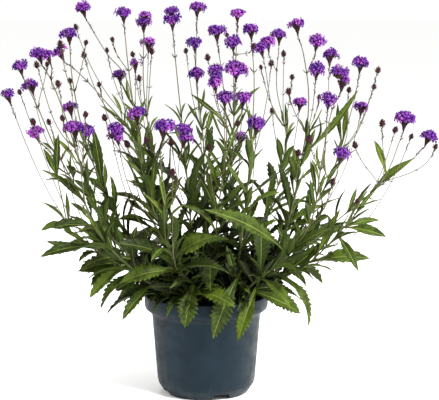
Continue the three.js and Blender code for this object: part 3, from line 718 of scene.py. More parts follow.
# Leaves: coarse teeth low on the plant, almost none on the narrow upper leaves
leafForm = {
    "thick": 0.55, "edge": 0.28, "groove": 0.25, "quilt": 0.03, "wave": 0.06, "droop": 0.03, "hook": 3.0,
    "twist": 1.1, "fold": 0.16, "waist": 0.3, "waistAt": 0.18, "waistLong": 0.16,
    # how far a leaf's own fold, droop and waves may differ, and how much less the upper leaves droop
    "folds": (0, 2), "droops": (0, 2.2), "droopLess": 0.6, "seeds": 6,
    # teeth: where, how far apart, how much farther higher up, and how deep low down and high up
    "toothBegin": 0.3, "toothEnd": 0.95, "toothEvery": 6.8, "toothWider": 0.9, "depth": (0.36, 0.08),
    "uneven": (0.3, 1.5), "leastVeins": 3,
    "largeFrom": 45, "largeBelow": 0.4, "toothedFrom": 5.5,  # length, height on the stem and width
    # rows of points in one tooth, as its share and how far the margin stands out
    "tooth": {"small": [(0, -0.5), (0.75, 0.7)], "toothed": [(0, -0.4), (0.4, 0), (0.88, 0.8)],
              "large": [(0, -0.4), (0.4, 0), (0.7, 0.4), (0.88, 0.8)]},
    # rows of a leaf without teeth, rows before the first tooth, and the last two rows
    "plainRows": (0, 0.07, 0.16, 0.27, 0.4, 0.54, 0.68, 0.81, 0.91, 0.975),
    "footRows": (0, 0.09, 0.19, 0.26), "endNarrow": 0.3, "lastRow": (0.975, 0.9, 0.9),
    "columns": {"large": [-1, -0.8, -0.48, -0.18, 0, 0.18, 0.48, 0.8, 1],
                "toothed": [-1, -0.7, -0.2, 0, 0.2, 0.7, 1], "small": [-1, -0.55, 0, 0.55, 1]},
}


def leafHalf(width, t):
    # narrower towards the stalk than a plain blade
    away = (t - leafForm["waistAt"]) / leafForm["waistLong"]
    return halfWidth(width, t) * (1 - leafForm["waist"] * np.exp(-away ** 2))


def leafRows(teeth, depth, kind, rng):
    # uneven teeth, which don't stand opposite each other
    form = leafForm
    if not teeth:
        return [(t, 1, 1) for t in form["plainRows"]]
    begin, end = form["toothBegin"], form["toothEnd"]
    rows = [(t, 1, 1) for t in form["footRows"]]
    step, shape = (end - begin) / teeth, form["tooth"][kind]
    steps = len(shape)
    for left, right in rng.uniform(*form["uneven"], (teeth, 2)):
        for n, (share, out) in enumerate(shape):
            rows.append((begin + share * step, 1 + depth * out * left,
                         1 + depth * shape[(n + steps // 2) % steps][1] * right))
        begin += step
    last = 1 - form["endNarrow"] * depth
    return rows + [(end, last, last), form["lastRow"]]


def leafBatch(leaf, tone, rng):
    form, height, teeth = leafForm, leaf["height"], 0
    length = np.linalg.norm(leaf["tip"] - leaf["base"])
    if leaf["width"] > form["toothedFrom"]:
        teeth = round(length / (form["toothEvery"] * (1 + form["toothWider"] * height)))
    large = length > form["largeFrom"] and height < form["largeBelow"]
    kind = "small" if leaf.get("inner") or not teeth else "large" if large else "toothed"
    rows = leafRows(teeth, between(form["depth"], height), kind, rng)
    look = {**form, "half": leafHalf, "veins": max(teeth, form["leastVeins"]),
            "seed": rng.random() * form["seeds"], "twist": form["twist"] * rng.uniform(-1, 1),
            "fold": form["fold"] * rng.uniform(*form["folds"]),
            "droop": form["droop"] * rng.uniform(*form["droops"]) * (1 - height * form["droopLess"])}
    points, faces, place = bladeBatch(lambda t, across, lift: bladePoints(leaf, t, across, lift), length,
                                      leaf["width"], rows, form["columns"][kind], look)
    return batchOf(points, faces, 0, place, tone)


# Small leaves that fill the plant: pairs low on each stem, and short leafy tufts at the leafy nodes
tuftForm = {
    # room kept, the share of others' room, how far off others are looked for, and room kept round each leaf
    "room": 0.25, "roomLow": -0.6, "ease": 0.6, "view": 40, "ownRoom": 1.0,
    # the width as a share of the length, low down and from two thirds up, and what is added to it
    "width": (0.22, 0.06), "widthFade": 1.5, "widthLeast": 1.2, "sizes": (0.8, 1.1), "arch": (-0.08, 0.2),
    "facingUp": 0.6, "facingSpread": 0.5, "swings": (0, 0.5, -0.5, 1.1, -1.1),
    # distance up the stem and length, and how far past the pot's rim these low leaves may reach
    "lowPairs": [(4, 42), (9, 44), (15, 42), (22, 42), (30, 40), (39, 38), (50, 34)], "lowLean": 0.5,
    "lowHeight": 0.1, "lowReach": 25,
    # pairs higher up: their places, turns, lengths, which lessen upwards, and leans, which grow upwards
    "pairFrom": 60, "pairGap": 17, "pairPast": 0.06, "pairSpread": 0.01, "pairLast": 0.97, "pairTurn": 0.3,
    "pairLong": (36, 66), "pairFull": 1.1, "pairLess": 0.7,
    "pairLean": 0.7, "pairLeanMore": 0.65, "pairLeanSpread": 0.22,
    "tufts": 2, "tuftPast": 0.12, "tuftLong": (12, 27), "tuftLean": (0.6, 1.25), "tuftTurn": 0.5,
    # long narrow leaves: stem, share of its length, tip, width, arch
    "long": {
        "right_back": [(1, 0.58, (158, 10, 318), 6.5, -0.09)],
        "right": [(0, 0.72, (141, 58, 301), 5.5, 0.04), (0, 0.72, (152, 60, 297), 5.5, -0.03)],
        "middle": [(1, 0.72, (-14, -50, 317), 4.5, -0.06)],
        "middle_right": [(0, 0.67, (56, 28, 320), 7.5, 0.03)],
    },
    "longFacing": (-0.4, -0.7, 0.5),
}


def longLeaves(name, stems):
    for number, share, tip, width, arch in tuftForm["long"].get(name, []):
        stem = stems[number]
        addLeaf(stem["leaves"], {"base": pointAt(stem["curve"], share), "tip": np.array(tip, float),
                                 "width": width, "facing": unit(np.array(tuftForm["longFacing"])),
                                 "arch": arch, "height": share}, stem["number"], tuftForm["ownRoom"])


def tuftLeaves(stem, rng):
    curve, number, form = stem["curve"], stem["number"], tuftForm
    wanted = []  # share of the stem's length, angle round it, length, lean and height
    for distance, long in form["lowPairs"]:
        turn = rng.random() * math.pi
        share = distance / curve["length"]
        wanted += [(share, turn + half, long, form["lowLean"], form["lowHeight"]) for half in (0, math.pi)]
    for distance in np.arange(form["pairFrom"], (stem["leafy"] + form["pairPast"]) * curve["length"],
                              form["pairGap"]):
        share = min(distance / curve["length"] + rng.normal() * form["pairSpread"], form["pairLast"])
        turn += math.pi / 2 + rng.normal() * form["pairTurn"]
        for half in (0, math.pi):
            long = rng.uniform(*form["pairLong"]) * (form["pairFull"] - form["pairLess"] * share)
            lean = form["pairLean"] + form["pairLeanMore"] * share + rng.normal() * form["pairLeanSpread"]
            wanted.append((share, turn + half, long, lean, share))
    for share in stem["nodes"]:
        if share > stem["leafy"] + form["tuftPast"]:
            continue
        turn = stem["turns"].get(share, rng.random() * math.pi)
        for k in range(form["tufts"]):
            wanted.append((share, turn + (k + 0.5) * math.pi + rng.normal() * form["tuftTurn"],
                           rng.uniform(*form["tuftLong"]), rng.uniform(*form["tuftLean"]), share))
    leaves = []
    for share, angle, long, lean, height in wanted:
        base, tangent, inner = pointAt(curve, share), tangentAt(curve, share), height == form["lowHeight"]
        for swing in form["swings"]:
            way = wayOut(tangent, angle + swing, lean)
            size = long * rng.uniform(*form["sizes"])
            leaf = {"base": base, "tip": base + unit(way) * size, "height": height, "inner": inner,
                    "width": (size * between(form["width"], min(height * form["widthFade"], 1))
                              + form["widthLeast"]),
                    "facing": unit(tangent + up * form["facingUp"]
                                   + rng.normal(size=3) * form["facingSpread"]),
                    "arch": rng.uniform(*form["arch"])}
            if inner and np.hypot(*leaf["tip"][:2]) > growth["rimRadius"] + form["lowReach"]:
                continue
            if isClear(leaf, number, form["roomLow" if inner else "room"], form["ease"], form["view"]):
                addLeaf(leaves, leaf, number, form["ownRoom"])
                break
    return leaves


# Stems: wiry and four-angled, with stiff hairs and swollen nodes
stemForm = {
    "radius": (1.45, 0.46), "taper": 0.6, "sides": 8, "ridges": 0.13, "step": 3.5, "swell": 0.4,
    "swellLong": 2.2, "tones": (0.2, 0.8),
    # flower stalks, a little thicker at the foot
    "stalk": 0.38, "stalkFoot": 1.25, "stalkSides": 6, "stalkPoints": 13, "stalkTone": 0.7,
    "hairsPerMm": 1.2, "hairLong": 0.75, "hairLongs": (0.5, 1.1), "hairLeans": (-0.1, 0.5), "hairWide": 0.05,
    "hairDeep": 0.85,
    # the woody foot: heights over the soil, and shares of its radius
    "collar": 2.4, "collarSides": 10, "collarRidges": 0.04, "collarSpread": 0.15, "collarTone": 0.9,
    "collarPlace": -0.2,
    "collarHeights": (-10, -4, 0, 2.5, 4.5, 6), "collarShares": (1, 1, 1.12, 1.05, 0.9, 0.45),
    # side bracts: from which share of the leafy part, and their lengths, which lessen upwards
    "bractLong": 8, "bractWide": 1.6, "bractFrom": 0.9, "bractFull": 1.5, "bractLess": 0.6, "bractTurn": 3,
    "bractLongs": (0.7, 1.15), "bractSteeps": (0.8, 1.5), "bractTones": (0, 0.3),
    # a stalk longer than this has a small pair at this point
    "bractsFrom": 22, "bractsAt": 6, "stalkBractLong": 0.6, "stalkBractWide": 0.7,
    # single calyces under a head: how many, over what length of the stalk, and their own lengths and leans
    "loose": 12, "looseCounts": (0.3, 1.2), "looseWay": 19, "looseWays": (0.5, 1), "looseMost": 0.6,
    "looseTop": 0.999, "looseLong": 3.6, "looseLongs": (0.6, 1.1), "looseLeans": (0.25, 0.8),
    "looseWide": 1.3, "looseTones": (0, 0.6),
}


def tubeBatch(points, radii, sides, ridges, material, tone):
    # a closed tube with a radius at each point
    points, radii = np.asarray(points, float), np.asarray(radii, float)
    across = firstAcross
    angles = 2 * np.pi * np.arange(sides) / sides
    shape = 1 + ridges * np.cos(4 * angles)
    rings = []
    for point, way, radius in zip(points, np.gradient(points, axis=0), radii):
        way = unit(way)
        across = unit(across - way * across.dot(way))
        beside = np.cross(way, across)
        rings.append(point + radius * shape[:, None] * (np.cos(angles)[:, None] * across
                                                        + np.sin(angles)[:, None] * beside))
    count = len(points)
    last = (count - 1) * sides
    ends = [[0, j + 1, j] for j in range(1, sides - 1)] + [[last, last + j, last + j + 1]
                                                           for j in range(1, sides - 1)]
    place = np.stack([np.repeat(np.linspace(0, 1, count), sides), np.tile(angles, count),
                      np.zeros(count * sides)], -1)
    faces = np.concatenate(ringFaces(count, sides) + [ends])
    return batchOf(np.concatenate(rings), faces, material, place, tone)


def turnsAlong(ways, inwards, sizes):
    # turns that bring +Z to each way and +X towards each inward direction, with a size for X, Y and Z
    ways = unitRows(ways)
    side = unitRows(np.cross(ways, inwards))
    return np.stack([np.cross(side, ways) * sizes[0][:, None], side * sizes[1][:, None],
                     ways * sizes[2][:, None]], -1)


hairShape = {
    "points": np.array([[1, 0, 0], [-0.5, 0.87, 0], [-0.5, -0.87, 0], [0, 0, 1.0]]),
    "place": np.zeros((4, 3)), "faces": [np.array([[0, 1, 3], [1, 2, 3], [2, 0, 3], [2, 1, 0]])],
}


def lengthOf(points):
    return np.linalg.norm(np.diff(points, axis=0), axis=1).sum()


def skinSpots(points, radii, at, rng):
    # places on a stem's skin, and the ways outwards and along the stem there
    i = at.astype(int)
    w = (at - i)[:, None]
    along = unitRows(points[i + 1] - points[i])
    out = rng.normal(size=(len(at), 3))
    out = unitRows(out - along * (out * along).sum(1)[:, None])
    deep = np.interp(at, np.arange(len(radii)), radii) * stemForm["hairDeep"]
    return points[i] * (1 - w) + points[i + 1] * w + out * deep[:, None], out, along


def hairsOn(points, radii, rng):
    count = int(lengthOf(points) * stemForm["hairsPerMm"])
    at = rng.random(count) * (len(points) - 1)
    spots, out, along = skinSpots(points, radii, at, rng)
    wide = np.full(count, stemForm["hairWide"])
    long = stemForm["hairLong"] * rng.uniform(*stemForm["hairLongs"], count)
    ways = out + along * rng.uniform(*stemForm["hairLeans"], (count, 1))
    turns = turnsAlong(ways, along, (wide, wide, long))
    return copiesOf(hairShape, turns, spots, rng.random(count), 2)


# A bract or calyx: a lance-shaped flap, 1 long, that grows along +Z and is hollow towards +X
bractForm = {
    "wide": 0.3, "thick": 0.02, "edge": 0.035, "hollow": 0.1, "cup": 0.5, "rows": (0, 0.38, 0.78),
    "foot": 0.16, "widest": 0.85, "blunt": 0.9,  # the curve of its margin
}


def bractShape(form):
    def frameOf(t, across, lift):
        hollow = form["cup"] * np.abs(across)
        return np.stack([lift - form["hollow"] * np.sin(np.pi * t) + hollow, across, t], -1)

    def half(width, t):
        share = (form["foot"] + (1 - form["foot"]) * t) ** form["widest"]
        return width / 2 * np.sin(np.pi * share) ** form["blunt"]

    points, faces, place = bladeBatch(frameOf, 1, form["wide"], [(t, 1, 1) for t in form["rows"]],
                                      [-1, 0, 1], {**form, "half": half})
    place = np.stack([points[:, 2], 0 * points[:, 2], place[:, 2]], -1)
    return {"points": points, "place": place, "faces": [faces]}


bract = bractShape(bractForm)


def bractsAt(spots, ways, inwards, long, wide, tones):
    turns = turnsAlong(ways, inwards, (long, np.full(len(long), wide / bractForm["wide"]), long))
    return copiesOf(bract, turns, spots, tones, 1)


def bractPair(point, tangent, turn, long, wide, rng):
    # two small bracts on opposite sides of a stem
    out = np.array([wayOut(tangent, turn + half) for half in (0, math.pi)])
    size = long * rng.uniform(*stemForm["bractLongs"], 2)
    ways = tangent * rng.uniform(*stemForm["bractSteeps"], (2, 1)) + out
    return bractsAt([point, point], ways, tangent - out, size, wide, rng.uniform(*stemForm["bractTones"], 2))


def looseCalyces(points, radii, rng):
    # single calyces up the last stretch of a flower stalk, left from florets that have fallen
    form = stemForm
    count = int(form["loose"] * rng.uniform(*form["looseCounts"]))
    reach = min(form["looseWay"] * rng.uniform(*form["looseWays"]) / lengthOf(points), form["looseMost"])
    share = form["looseTop"] - reach * (np.arange(count) + rng.random(count)) / count
    spots, out, along = skinSpots(points, radii, share * (len(points) - 1), rng)
    long = form["looseLong"] * rng.uniform(*form["looseLongs"], count)
    ways = along + out * rng.uniform(*form["looseLeans"], (count, 1))
    return bractsAt(spots, ways, along - out, long, form["looseWide"],
                    rng.uniform(*form["looseTones"], count))


def stemBatches(stem, rng):
    form, curve = stemForm, stem["curve"]
    shares = np.linspace(0, 1, int(curve["length"] / form["step"]) + 1)
    points = np.array([pointAt(curve, share) for share in shares])
    radii = between(form["radius"], shares ** form["taper"])
    for node in stem["nodes"]:
        away = (shares - node) * curve["length"] / form["swellLong"]
        radii = radii * (1 + form["swell"] * np.exp(-away ** 2))
    tone = rng.uniform(*form["tones"])
    batches = [tubeBatch(points, radii, form["sides"], form["ridges"], 0, tone)]
    batches += hairsOn(points, radii, rng)
    for stalk in stem["stalks"]:
        route = np.array([bezier(stalk["bends"], t) for t in np.linspace(0, 1, form["stalkPoints"])])
        thick = np.linspace(form["stalk"] * form["stalkFoot"], form["stalk"], form["stalkPoints"])
        tube = tubeBatch(route, thick, form["stalkSides"], 0, 0, tone)
        tube["place"][:, 0] = form["stalkTone"] + (1 - form["stalkTone"]) * tube["place"][:, 0]
        batches += [tube] + hairsOn(route, thick, rng) + looseCalyces(route, thick, rng)
        if lengthOf(route) > form["bractsFrom"]:
            k = form["bractsAt"]
            batches += bractPair(route[k], unit(route[k + 1] - route[k - 1]),
                                 rng.random() * form["bractTurn"], form["bractLong"] * form["stalkBractLong"],
                                 form["bractWide"] * form["stalkBractWide"], rng)
    if stem["heads"]:
        batches += looseCalyces(points, radii, rng)
    # side bracts where the upper nodes and forks are
    for node in stem["nodes"]:
        if node > stem["leafy"] * form["bractFrom"]:
            long = form["bractLong"] * (form["bractFull"] - form["bractLess"] * node)
            batches += bractPair(pointAt(curve, node), tangentAt(curve, node),
                                 rng.random() * form["bractTurn"], long, form["bractWide"], rng)
    return batches


def collarBatch(crown, rng):
    # the woody foot that the stems of one shoot rise from
    form = stemForm
    points = np.array([[crown[0] + rng.normal() * form["collarSpread"],
                        crown[1] + rng.normal() * form["collarSpread"],
                        growth["soilTop"] + height] for height in form["collarHeights"]])
    batch = tubeBatch(points, form["collar"] * np.array(form["collarShares"]), form["collarSides"],
                      form["collarRidges"], 0, form["collarTone"])
    batch["place"][:, 0] = form["collarPlace"]
    return batch


# Heads: dark overlapping calyces on a cone, with florets round its top
headForm = {
    "usual": 8, "golden": 2.39996, "turns": 6, "coreSides": 8, "coreTone": 0.2,
    # the cone's calyces: their spread up it and out from it, how far they lean out, and their lengths
    "calyces": 30, "calyxWide": 1.5, "coneUp": 1.02, "coneDown": 0.05, "coneOut": 0.3, "coneCurve": 1.3,
    "coneWide": 0.22, "coneLean": 0.12, "coneLeanMore": 0.5, "coneLeans": (0.6, 1.3),
    "calyxLong": 4.8, "calyxLeast": 0.65, "calyxMore": 0.5, "calyxLongs": (0.85, 1.15),
    "coneFoot": 0.42, "coneCore": (0.13, 0.24, 0.18), "coneTop": 0.5,  # the core's radii and its height
    # closed heads: the spindle's size, height and girth, and how far its bracts lean out
    "budBracts": 20, "budWide": 1.8, "budSizes": (0.72, 1.28), "budSpreads": (0.7, 1.5),
    "budRadius": 2.7, "budFoot": 0.12, "budSweep": 0.7, "budBlunt": 0.8, "budIn": 0.66,
    "budHigh": 5.2, "budLow": 1.1, "budLean": 0.85, "budLeanLess": 1.15, "budLeans": (0.8, 1.3),
    "budLong": 3.6, "budLongs": (0.8, 1.15), "budLongFull": 1.1, "budLongLess": 0.3, "budTones": (0.1, 0.8),
    "budHeights": (-3.6, -1.8, 0.6, 2.4), "budRadii": (0.6, 1.9, 2.0, 0.6),  # its core
}


def around(face, count, rng):
    # directions square to a face, one golden angle apart, and their shares
    turn = turnTo(face)
    k = np.arange(count)
    angle = k * headForm["golden"] + rng.random() * headForm["turns"]
    out = np.cos(angle)[:, None] * turn[:, 0] + np.sin(angle)[:, None] * turn[:, 1]
    return out, ((k + 0.5) / count)[:, None]


def coneBatches(foot, top, radius, face, rng):
    # overlapping calyces up the cone under a head
    form = headForm
    out, share = around(face, int(form["calyces"] * (radius / form["usual"])), rng)
    count = len(out)
    spots = (foot + (top - foot) * (share * form["coneUp"] - form["coneDown"])
             + out * (form["coneOut"] + share ** form["coneCurve"] * radius * form["coneWide"]))
    lean = form["coneLean"] + form["coneLeanMore"] * share
    ways = face + out * lean * rng.uniform(*form["coneLeans"], (count, 1))
    long = form["calyxLong"] * (form["calyxLeast"] + form["calyxMore"] * share[:, 0])
    long = long * rng.uniform(*form["calyxLongs"], count)
    core = tubeBatch([foot - face, (foot + top) / 2, top, top + face * radius * form["coneTop"]],
                     [form["coneFoot"]] + [radius * wide for wide in form["coneCore"]], form["coreSides"], 0,
                     1, form["coreTone"])
    return bractsAt(spots, ways, face - out, long, form["calyxWide"], rng.random(count)) + [core]


def budBatches(place, face, rng):
    # a closed head: bracts packed round a spindle, tight on a young one and spread on an old one
    form = headForm
    size, spread = rng.uniform(*form["budSizes"]), rng.uniform(*form["budSpreads"])
    out, share = around(face, form["budBracts"], rng)
    count = len(out)
    girth = np.sin(np.pi * (form["budFoot"] + form["budSweep"] * share)) ** form["budBlunt"]
    spots = (place + face * ((share - 0.5) * form["budHigh"] * size - form["budLow"])
             + out * (form["budRadius"] * size * girth) * form["budIn"])
    lean = (form["budLean"] - form["budLeanLess"] * share) * spread
    ways = face + out * (lean * rng.uniform(*form["budLeans"], (count, 1)))
    long = form["budLong"] * size ** 0.5 * rng.uniform(*form["budLongs"], count)
    long = long * (form["budLongFull"] - form["budLongLess"] * share[:, 0])
    # only the core's tip grows with the bud, and its two widest rings
    heights = np.outer(form["budHeights"], face) * np.array([[1], [1], [1], [size]])
    core = tubeBatch(place + heights, form["budRadii"] * np.array([1, size, size, 1]), form["coreSides"], 0,
                     1, form["coreTone"])
    return bractsAt(spots, ways, face - out, long, form["budWide"],
                    rng.uniform(*form["budTones"], count)) + [core]


# Florets: five notched lobes on a narrow tube
floretForm = {
    "lobes": 5, "throat": 0.45, "lobeLong": 2.9, "notch": 0.7, "dish": 0.15,
    "rows": [(0, 0.28), (0.36, 0.72), (0.72, 1.15), (1, 0.95)],  # share of a lobe's length, half its width
    "columns": {-1: 0.6, -0.5: 0.1, 0: 1.0, 0.5: 0.1, 1: 0.6},  # place across a lobe, share of the notch
    # how a lobe rises and falls back, ruffles from side to side, and differs from the next
    "rise": 0.9, "fall": 1.1, "ruffle": 0.22, "ruffleTurns": 3.1, "uneven": 0.25, "unevenTurns": 2.4,
    "tube": [(-3.4, 0.3, -0.4), (-1.2, 0.36, -0.4), (0.05, 0.55, -0.1)],  # height, radius, what colours read
    # how many a head has, more on a large one, and the flattened ball that they stand on
    "perHead": 21, "more": 1.6, "counts": (0.7, 1.15), "lowest": -0.22, "highest": 0.99, "wide": 1.04,
    "flat": 0.66, "lopsided": 0.16, "depths": (0.68, 1.04),
    # the share that is left, on the whole, under the rim, and on one side with few
    "left": 0.96, "rimBelow": -0.12, "rimLeft": 0.75, "bareTurns": 6.28, "bareFrom": 0.8, "bareBelow": 0.3,
    "bareLeft": 0.4,
    "size": 1.3, "sizes": (0.8, 1.08), "sizeLeast": 0.75, "sizeMore": 0.25, "lean": 0.1, "leanSpread": 0.3,
    "tones": (0.3, 0.7), "toneSpread": 0.24,
    # the calyx of each floret, and unopened buds at the top
    "calyxWide": 1.38, "calyxLow": 0.3, "calyxOut": 0.12, "calyxReach": (0.72, 0.86), "calyxHollow": 0.5,
    "calyxAside": 0.01, "calyxTones": (0.35, 1),
    "topBuds": 7, "topBudLong": 0.34, "topBudOut": 0.3, "topBudUp": 0.5, "topBudTurn": 0.1,
    "topBudTones": (0.4, 0.8),
    "core": [(-0.42, 0.28), (-0.1, 0.42), (0.3, 0.4), (0.5, 0.12)], "coreTone": 0.15,  # heights and radii
    # heads that are partly over, with the share of florets left
    "fading": {"middle_left_3": 0.45, "middle_right_1": 0.6, "right_front_1": 0.7, "left_back_2": 0.8},
}


def floretShape(form):
    # +Z points out of the throat
    points, place, faces = [], [], []
    count, wide, tube = form["lobes"], len(form["columns"]), form["tube"]
    cells = np.arange(len(form["rows"]) * wide).reshape(-1, wide)
    rim = np.concatenate([cells[:, 0], cells[-1, 1:], cells[-2::-1, -1], cells[0, -2:0:-1]])
    for lobe in range(count):
        start, turn = len(points), 2 * math.pi * lobe / count
        for share, half in form["rows"]:
            for side, notch in form["columns"].items():
                out = form["throat"] + form["lobeLong"] * share
                if share == 1:
                    out -= form["notch"] * notch
                lift = (form["rise"] * share - form["fall"] * share ** 2
                        + form["ruffle"] * math.cos(side * form["ruffleTurns"]) * share
                        + form["uneven"] * math.sin(lobe * form["unevenTurns"]))
                points.append([out * math.cos(turn) - half * side * math.sin(turn),
                               out * math.sin(turn) + half * side * math.cos(turn), lift])
                place.append([share, side, 0])
        for a in (start + cells[:-1, :-1]).ravel():
            faces += [[a, a + wide, a + wide + 1], [a, a + wide + 1, a + 1]]
        # the lower side, from the lobe's rim to a point under its middle
        heart = len(points)
        points.append(np.mean([points[start + r] for r in rim], axis=0) - [0, 0, form["dish"]])
        place.append([0.5, 0, 1])
        faces += [[start + b, start + a, heart] for a, b in zip(rim, np.roll(rim, -1))]
    start = len(points)
    for height, radius, read in tube:
        for k in range(count):
            turn = 2 * math.pi * (k + 0.5) / count
            points.append([radius * math.cos(turn), radius * math.sin(turn), height])
            place.append([read, 0, 0])
    for i in range(len(tube) - 1):
        for k in range(count):
            a, b = start + count * i + k, start + count * i + (k + 1) % count
            faces += [[a, b, b + count], [a, b + count, a + count]]
    end = start + (len(tube) - 1) * count
    for k in range(1, count - 1):
        faces += [[start, start + k + 1, start + k], [end, end + k, end + 1 + k]]
    return {"points": np.array(points), "place": np.array(place, float), "faces": [np.array(faces)]}


floret = floretShape(floretForm)


def floretBatches(head, left, rng):
    radius, face, place = head["radius"], head["face"], head["place"]
    form, turn, large = floretForm, turnTo(face), head["radius"] / headForm["usual"]
    count = int(form["perHead"] * large ** form["more"] * rng.uniform(*form["counts"]))
    height = form["highest"] - (np.arange(count) + 0.5) / count * (form["highest"] - form["lowest"])
    angle = np.arange(count) * headForm["golden"] + rng.random() * headForm["turns"]
    flat = np.sqrt(1 - height ** 2)
    ways = (flat * np.cos(angle))[:, None] * turn[:, 0] + (flat * np.sin(angle))[:, None] * turn[:, 1]
    ways = ways * form["wide"] + height[:, None] * form["flat"] * face
    # a few are missing, mostly low on one side, where the calyces show
    bare = np.cos(angle - rng.random() * form["bareTurns"]) * flat > form["bareFrom"]
    bare &= height < form["bareBelow"]
    stays = left * np.where(height < form["rimBelow"], form["rimLeft"], form["left"])
    out = ways[rng.random(count) < stays * np.where(bare, form["bareLeft"], 1)]
    number = len(out)
    # heads are a little lopsided
    swell = 1 + form["lopsided"] * (out @ unit(rng.normal(size=3)))[:, None]
    spots = place + out * radius * swell * rng.uniform(*form["depths"], (number, 1))
    size = form["size"] * rng.uniform(*form["sizes"], number) * (form["sizeLeast"] + form["sizeMore"] * large)
    facing = out + face * form["lean"] + rng.normal(size=(number, 3)) * form["leanSpread"]
    turns = turnsAlong(facing, rng.normal(size=(number, 3)), (size, size, size))
    tones = (rng.uniform(*form["tones"]) + rng.normal(size=number) * form["toneSpread"]).clip(0, 1)
    batches = copiesOf(floret, turns, spots, tones, 0)
    # each floret's calyx, with or without the floret
    roots = place - face * radius * form["calyxLow"] + ways * radius * form["calyxOut"]
    reach = place + ways * radius * rng.uniform(*form["calyxReach"], (count, 1)) - roots
    batches += bractsAt(roots, reach, face - ways * form["calyxHollow"] + form["calyxAside"],
                        np.linalg.norm(reach, axis=1), form["calyxWide"],
                        rng.uniform(*form["calyxTones"], count))
    # unopened buds at the very top
    out, share = around(face, form["topBuds"], rng)
    out = out * np.sqrt(share) * form["topBudOut"] + face
    long = np.full(form["topBuds"], radius * form["topBudLong"])
    batches += bractsAt(place + out * radius * form["topBudUp"], out,
                        turn[:, 0] + turn[:, 1] * form["topBudTurn"], long, long * bractForm["wide"],
                        rng.uniform(*form["topBudTones"], form["topBuds"]))
    heights, radii = np.array(form["core"]).T
    core = tubeBatch(place + np.outer(heights, face) * radius, radii * radius, headForm["coreSides"], 0, 1,
                     form["coreTone"])
    return batches + [core]


# Materials. A look holds colours and the settings of nodes, with each pattern's size and depth in
# millimetres against a metre. Mixing takes its share at 0 and two colours at 6 and 7, and easing takes 0
# from the range 1 to 2 to the range 3 to 4. The plant's materials read the place and tone in their meshes.
mixing = {"data_type": "RGBA"}
easing = {"interpolation_type": "SMOOTHSTEP"}


def carriedBy(tree):
    # the three numbers of the mesh's place, its tone, and the point in the piece in metres
    place = addNode(tree, "Attribute", {"attribute_name": "place"}).outputs["Vector"]
    tone = addNode(tree, "Attribute", {"attribute_name": "tone"}).outputs["Fac"]
    where = addNode(tree, "TexCoord").outputs["Object"]
    return addNode(tree, "SeparateXYZ", links={0: place}).outputs, tone, where


leafLook = {
    # the darkest green stands for old leaves and also for painted shade on crowded leaves and in shadow
    # patches
    "oldAndShaded": "#060a01", "grown": "#1f2e05", "young": "#4a5c12", "dry": "#56641e", "rib": "#76843a",
    "under": "#3e4c20", "glow": "#5f7d14", "glowShare": 0.6, "through": 0.18,
    "paint": {"Roughness": 0.52, "Specular IOR Level": 0.14},
    "shadowPatch": {"Scale": metre / 11, "Detail": 2}, "mottle": {"Scale": metre / 3.5, "Detail": 3},
    "wrinkle": {"Scale": metre / 0.9, "feature": "SMOOTH_F1"},
    "bump": {"Strength": 0.7, "Distance": 0.12 / metre},
}


def leafMaterial(look):
    # living leaf, grown rough: matt green with pale sunken veins, which glows a little with light behind it,
    # and is darkened by painted shade where other foliage crowds it
    material, tree, output = newMaterial("living leaf, rough and net-veined")
    place, tone, where = carriedBy(tree)
    # the tone runs from the darkest green, old leaves and painted shade together, to the young green
    body = addNode(tree, "ValToRGB", {"stops": [(0, look["oldAndShaded"]), (0.5, look["grown"]), (1, look["young"])]},
                   {0: tone})
    # painted shadow: broad patches of the darkest green, like the shade that other leaves cast
    shadowPatch = addNode(tree, "TexNoise", look["shadowPatch"], {"Vector": where})
    shadowPatch = addNode(tree, "MapRange", {**easing, 1: 0.46, 2: 0.62, 4: 0.6}, {0: shadowPatch})
    mottle = addNode(tree, "TexNoise", look["mottle"], {"Vector": where})
    mottle = addNode(tree, "MapRange", {**easing, 1: 0.35, 2: 0.7, 4: 0.3}, {0: mottle})
    mottle = addNode(tree, "Math", {"operation": "MULTIPLY"}, {0: mottle, 1: tone})
    # the midrib, and side veins where the phase is near a whole number
    rib = addNode(tree, "MapRange", {**easing, 1: 0.2, 2: 0.6, 3: 0.8, 4: 0}, {0: place[0]})
    side = addNode(tree, "Math", {"operation": "ADD", 1: 20}, {0: place[1]})
    side = addNode(tree, "Math", {"operation": "PINGPONG", 1: 0.5}, {0: side})
    side = addNode(tree, "MapRange", {**easing, 1: 0.02, 2: 0.11, 3: 0.16, 4: 0}, {0: side})
    vein = addNode(tree, "Math", {"operation": "MAXIMUM"}, {0: rib, 1: side})
    # dark leaves show less of their veins and of their paler lower side
    shown = addNode(tree, "MapRange", {1: 0, 2: 0.4, 3: 0.35, 4: 1}, {0: tone})
    shown = addNode(tree, "Math", {"operation": "MULTIPLY"}, {0: vein, 1: shown})
    under = addNode(tree, "Math", {"operation": "MULTIPLY", 1: 0.6}, {0: place[2]})
    bright = addNode(tree, "MapRange", {1: 0, 2: 0.4, 3: 0.3, 4: 1}, {0: tone})
    under = addNode(tree, "Math", {"operation": "MULTIPLY"}, {0: under, 1: bright})
    for amount, colour in ((shadowPatch, "oldAndShaded"), (mottle, "dry"), (shown, "rib"), (under, "under")):
        body = addNode(tree, "Mix", {**mixing, 7: look[colour]}, {0: amount, 6: body})
    wrinkle = addNode(tree, "TexVoronoi", look["wrinkle"], {"Vector": where}).outputs["Distance"]
    sunk = addNode(tree, "Math", {"operation": "MULTIPLY", 1: 1.6}, {0: vein})
    height = addNode(tree, "Math", {"operation": "SUBTRACT"}, {0: wrinkle, 1: sunk})
    bump = addNode(tree, "Bump", look["bump"], {"Height": height})
    paint = addNode(tree, "BsdfPrincipled", look["paint"], {"Base Color": body, "Normal": bump})
    light = addNode(tree, "Mix", {**mixing, 0: look["glowShare"], 7: look["glow"]}, {6: body})
    light = addNode(tree, "BsdfTranslucent", links={"Color": light})
    addNode(tree, "MixShader", {0: look["through"]}, {1: paint, 2: light}, output)
    return material


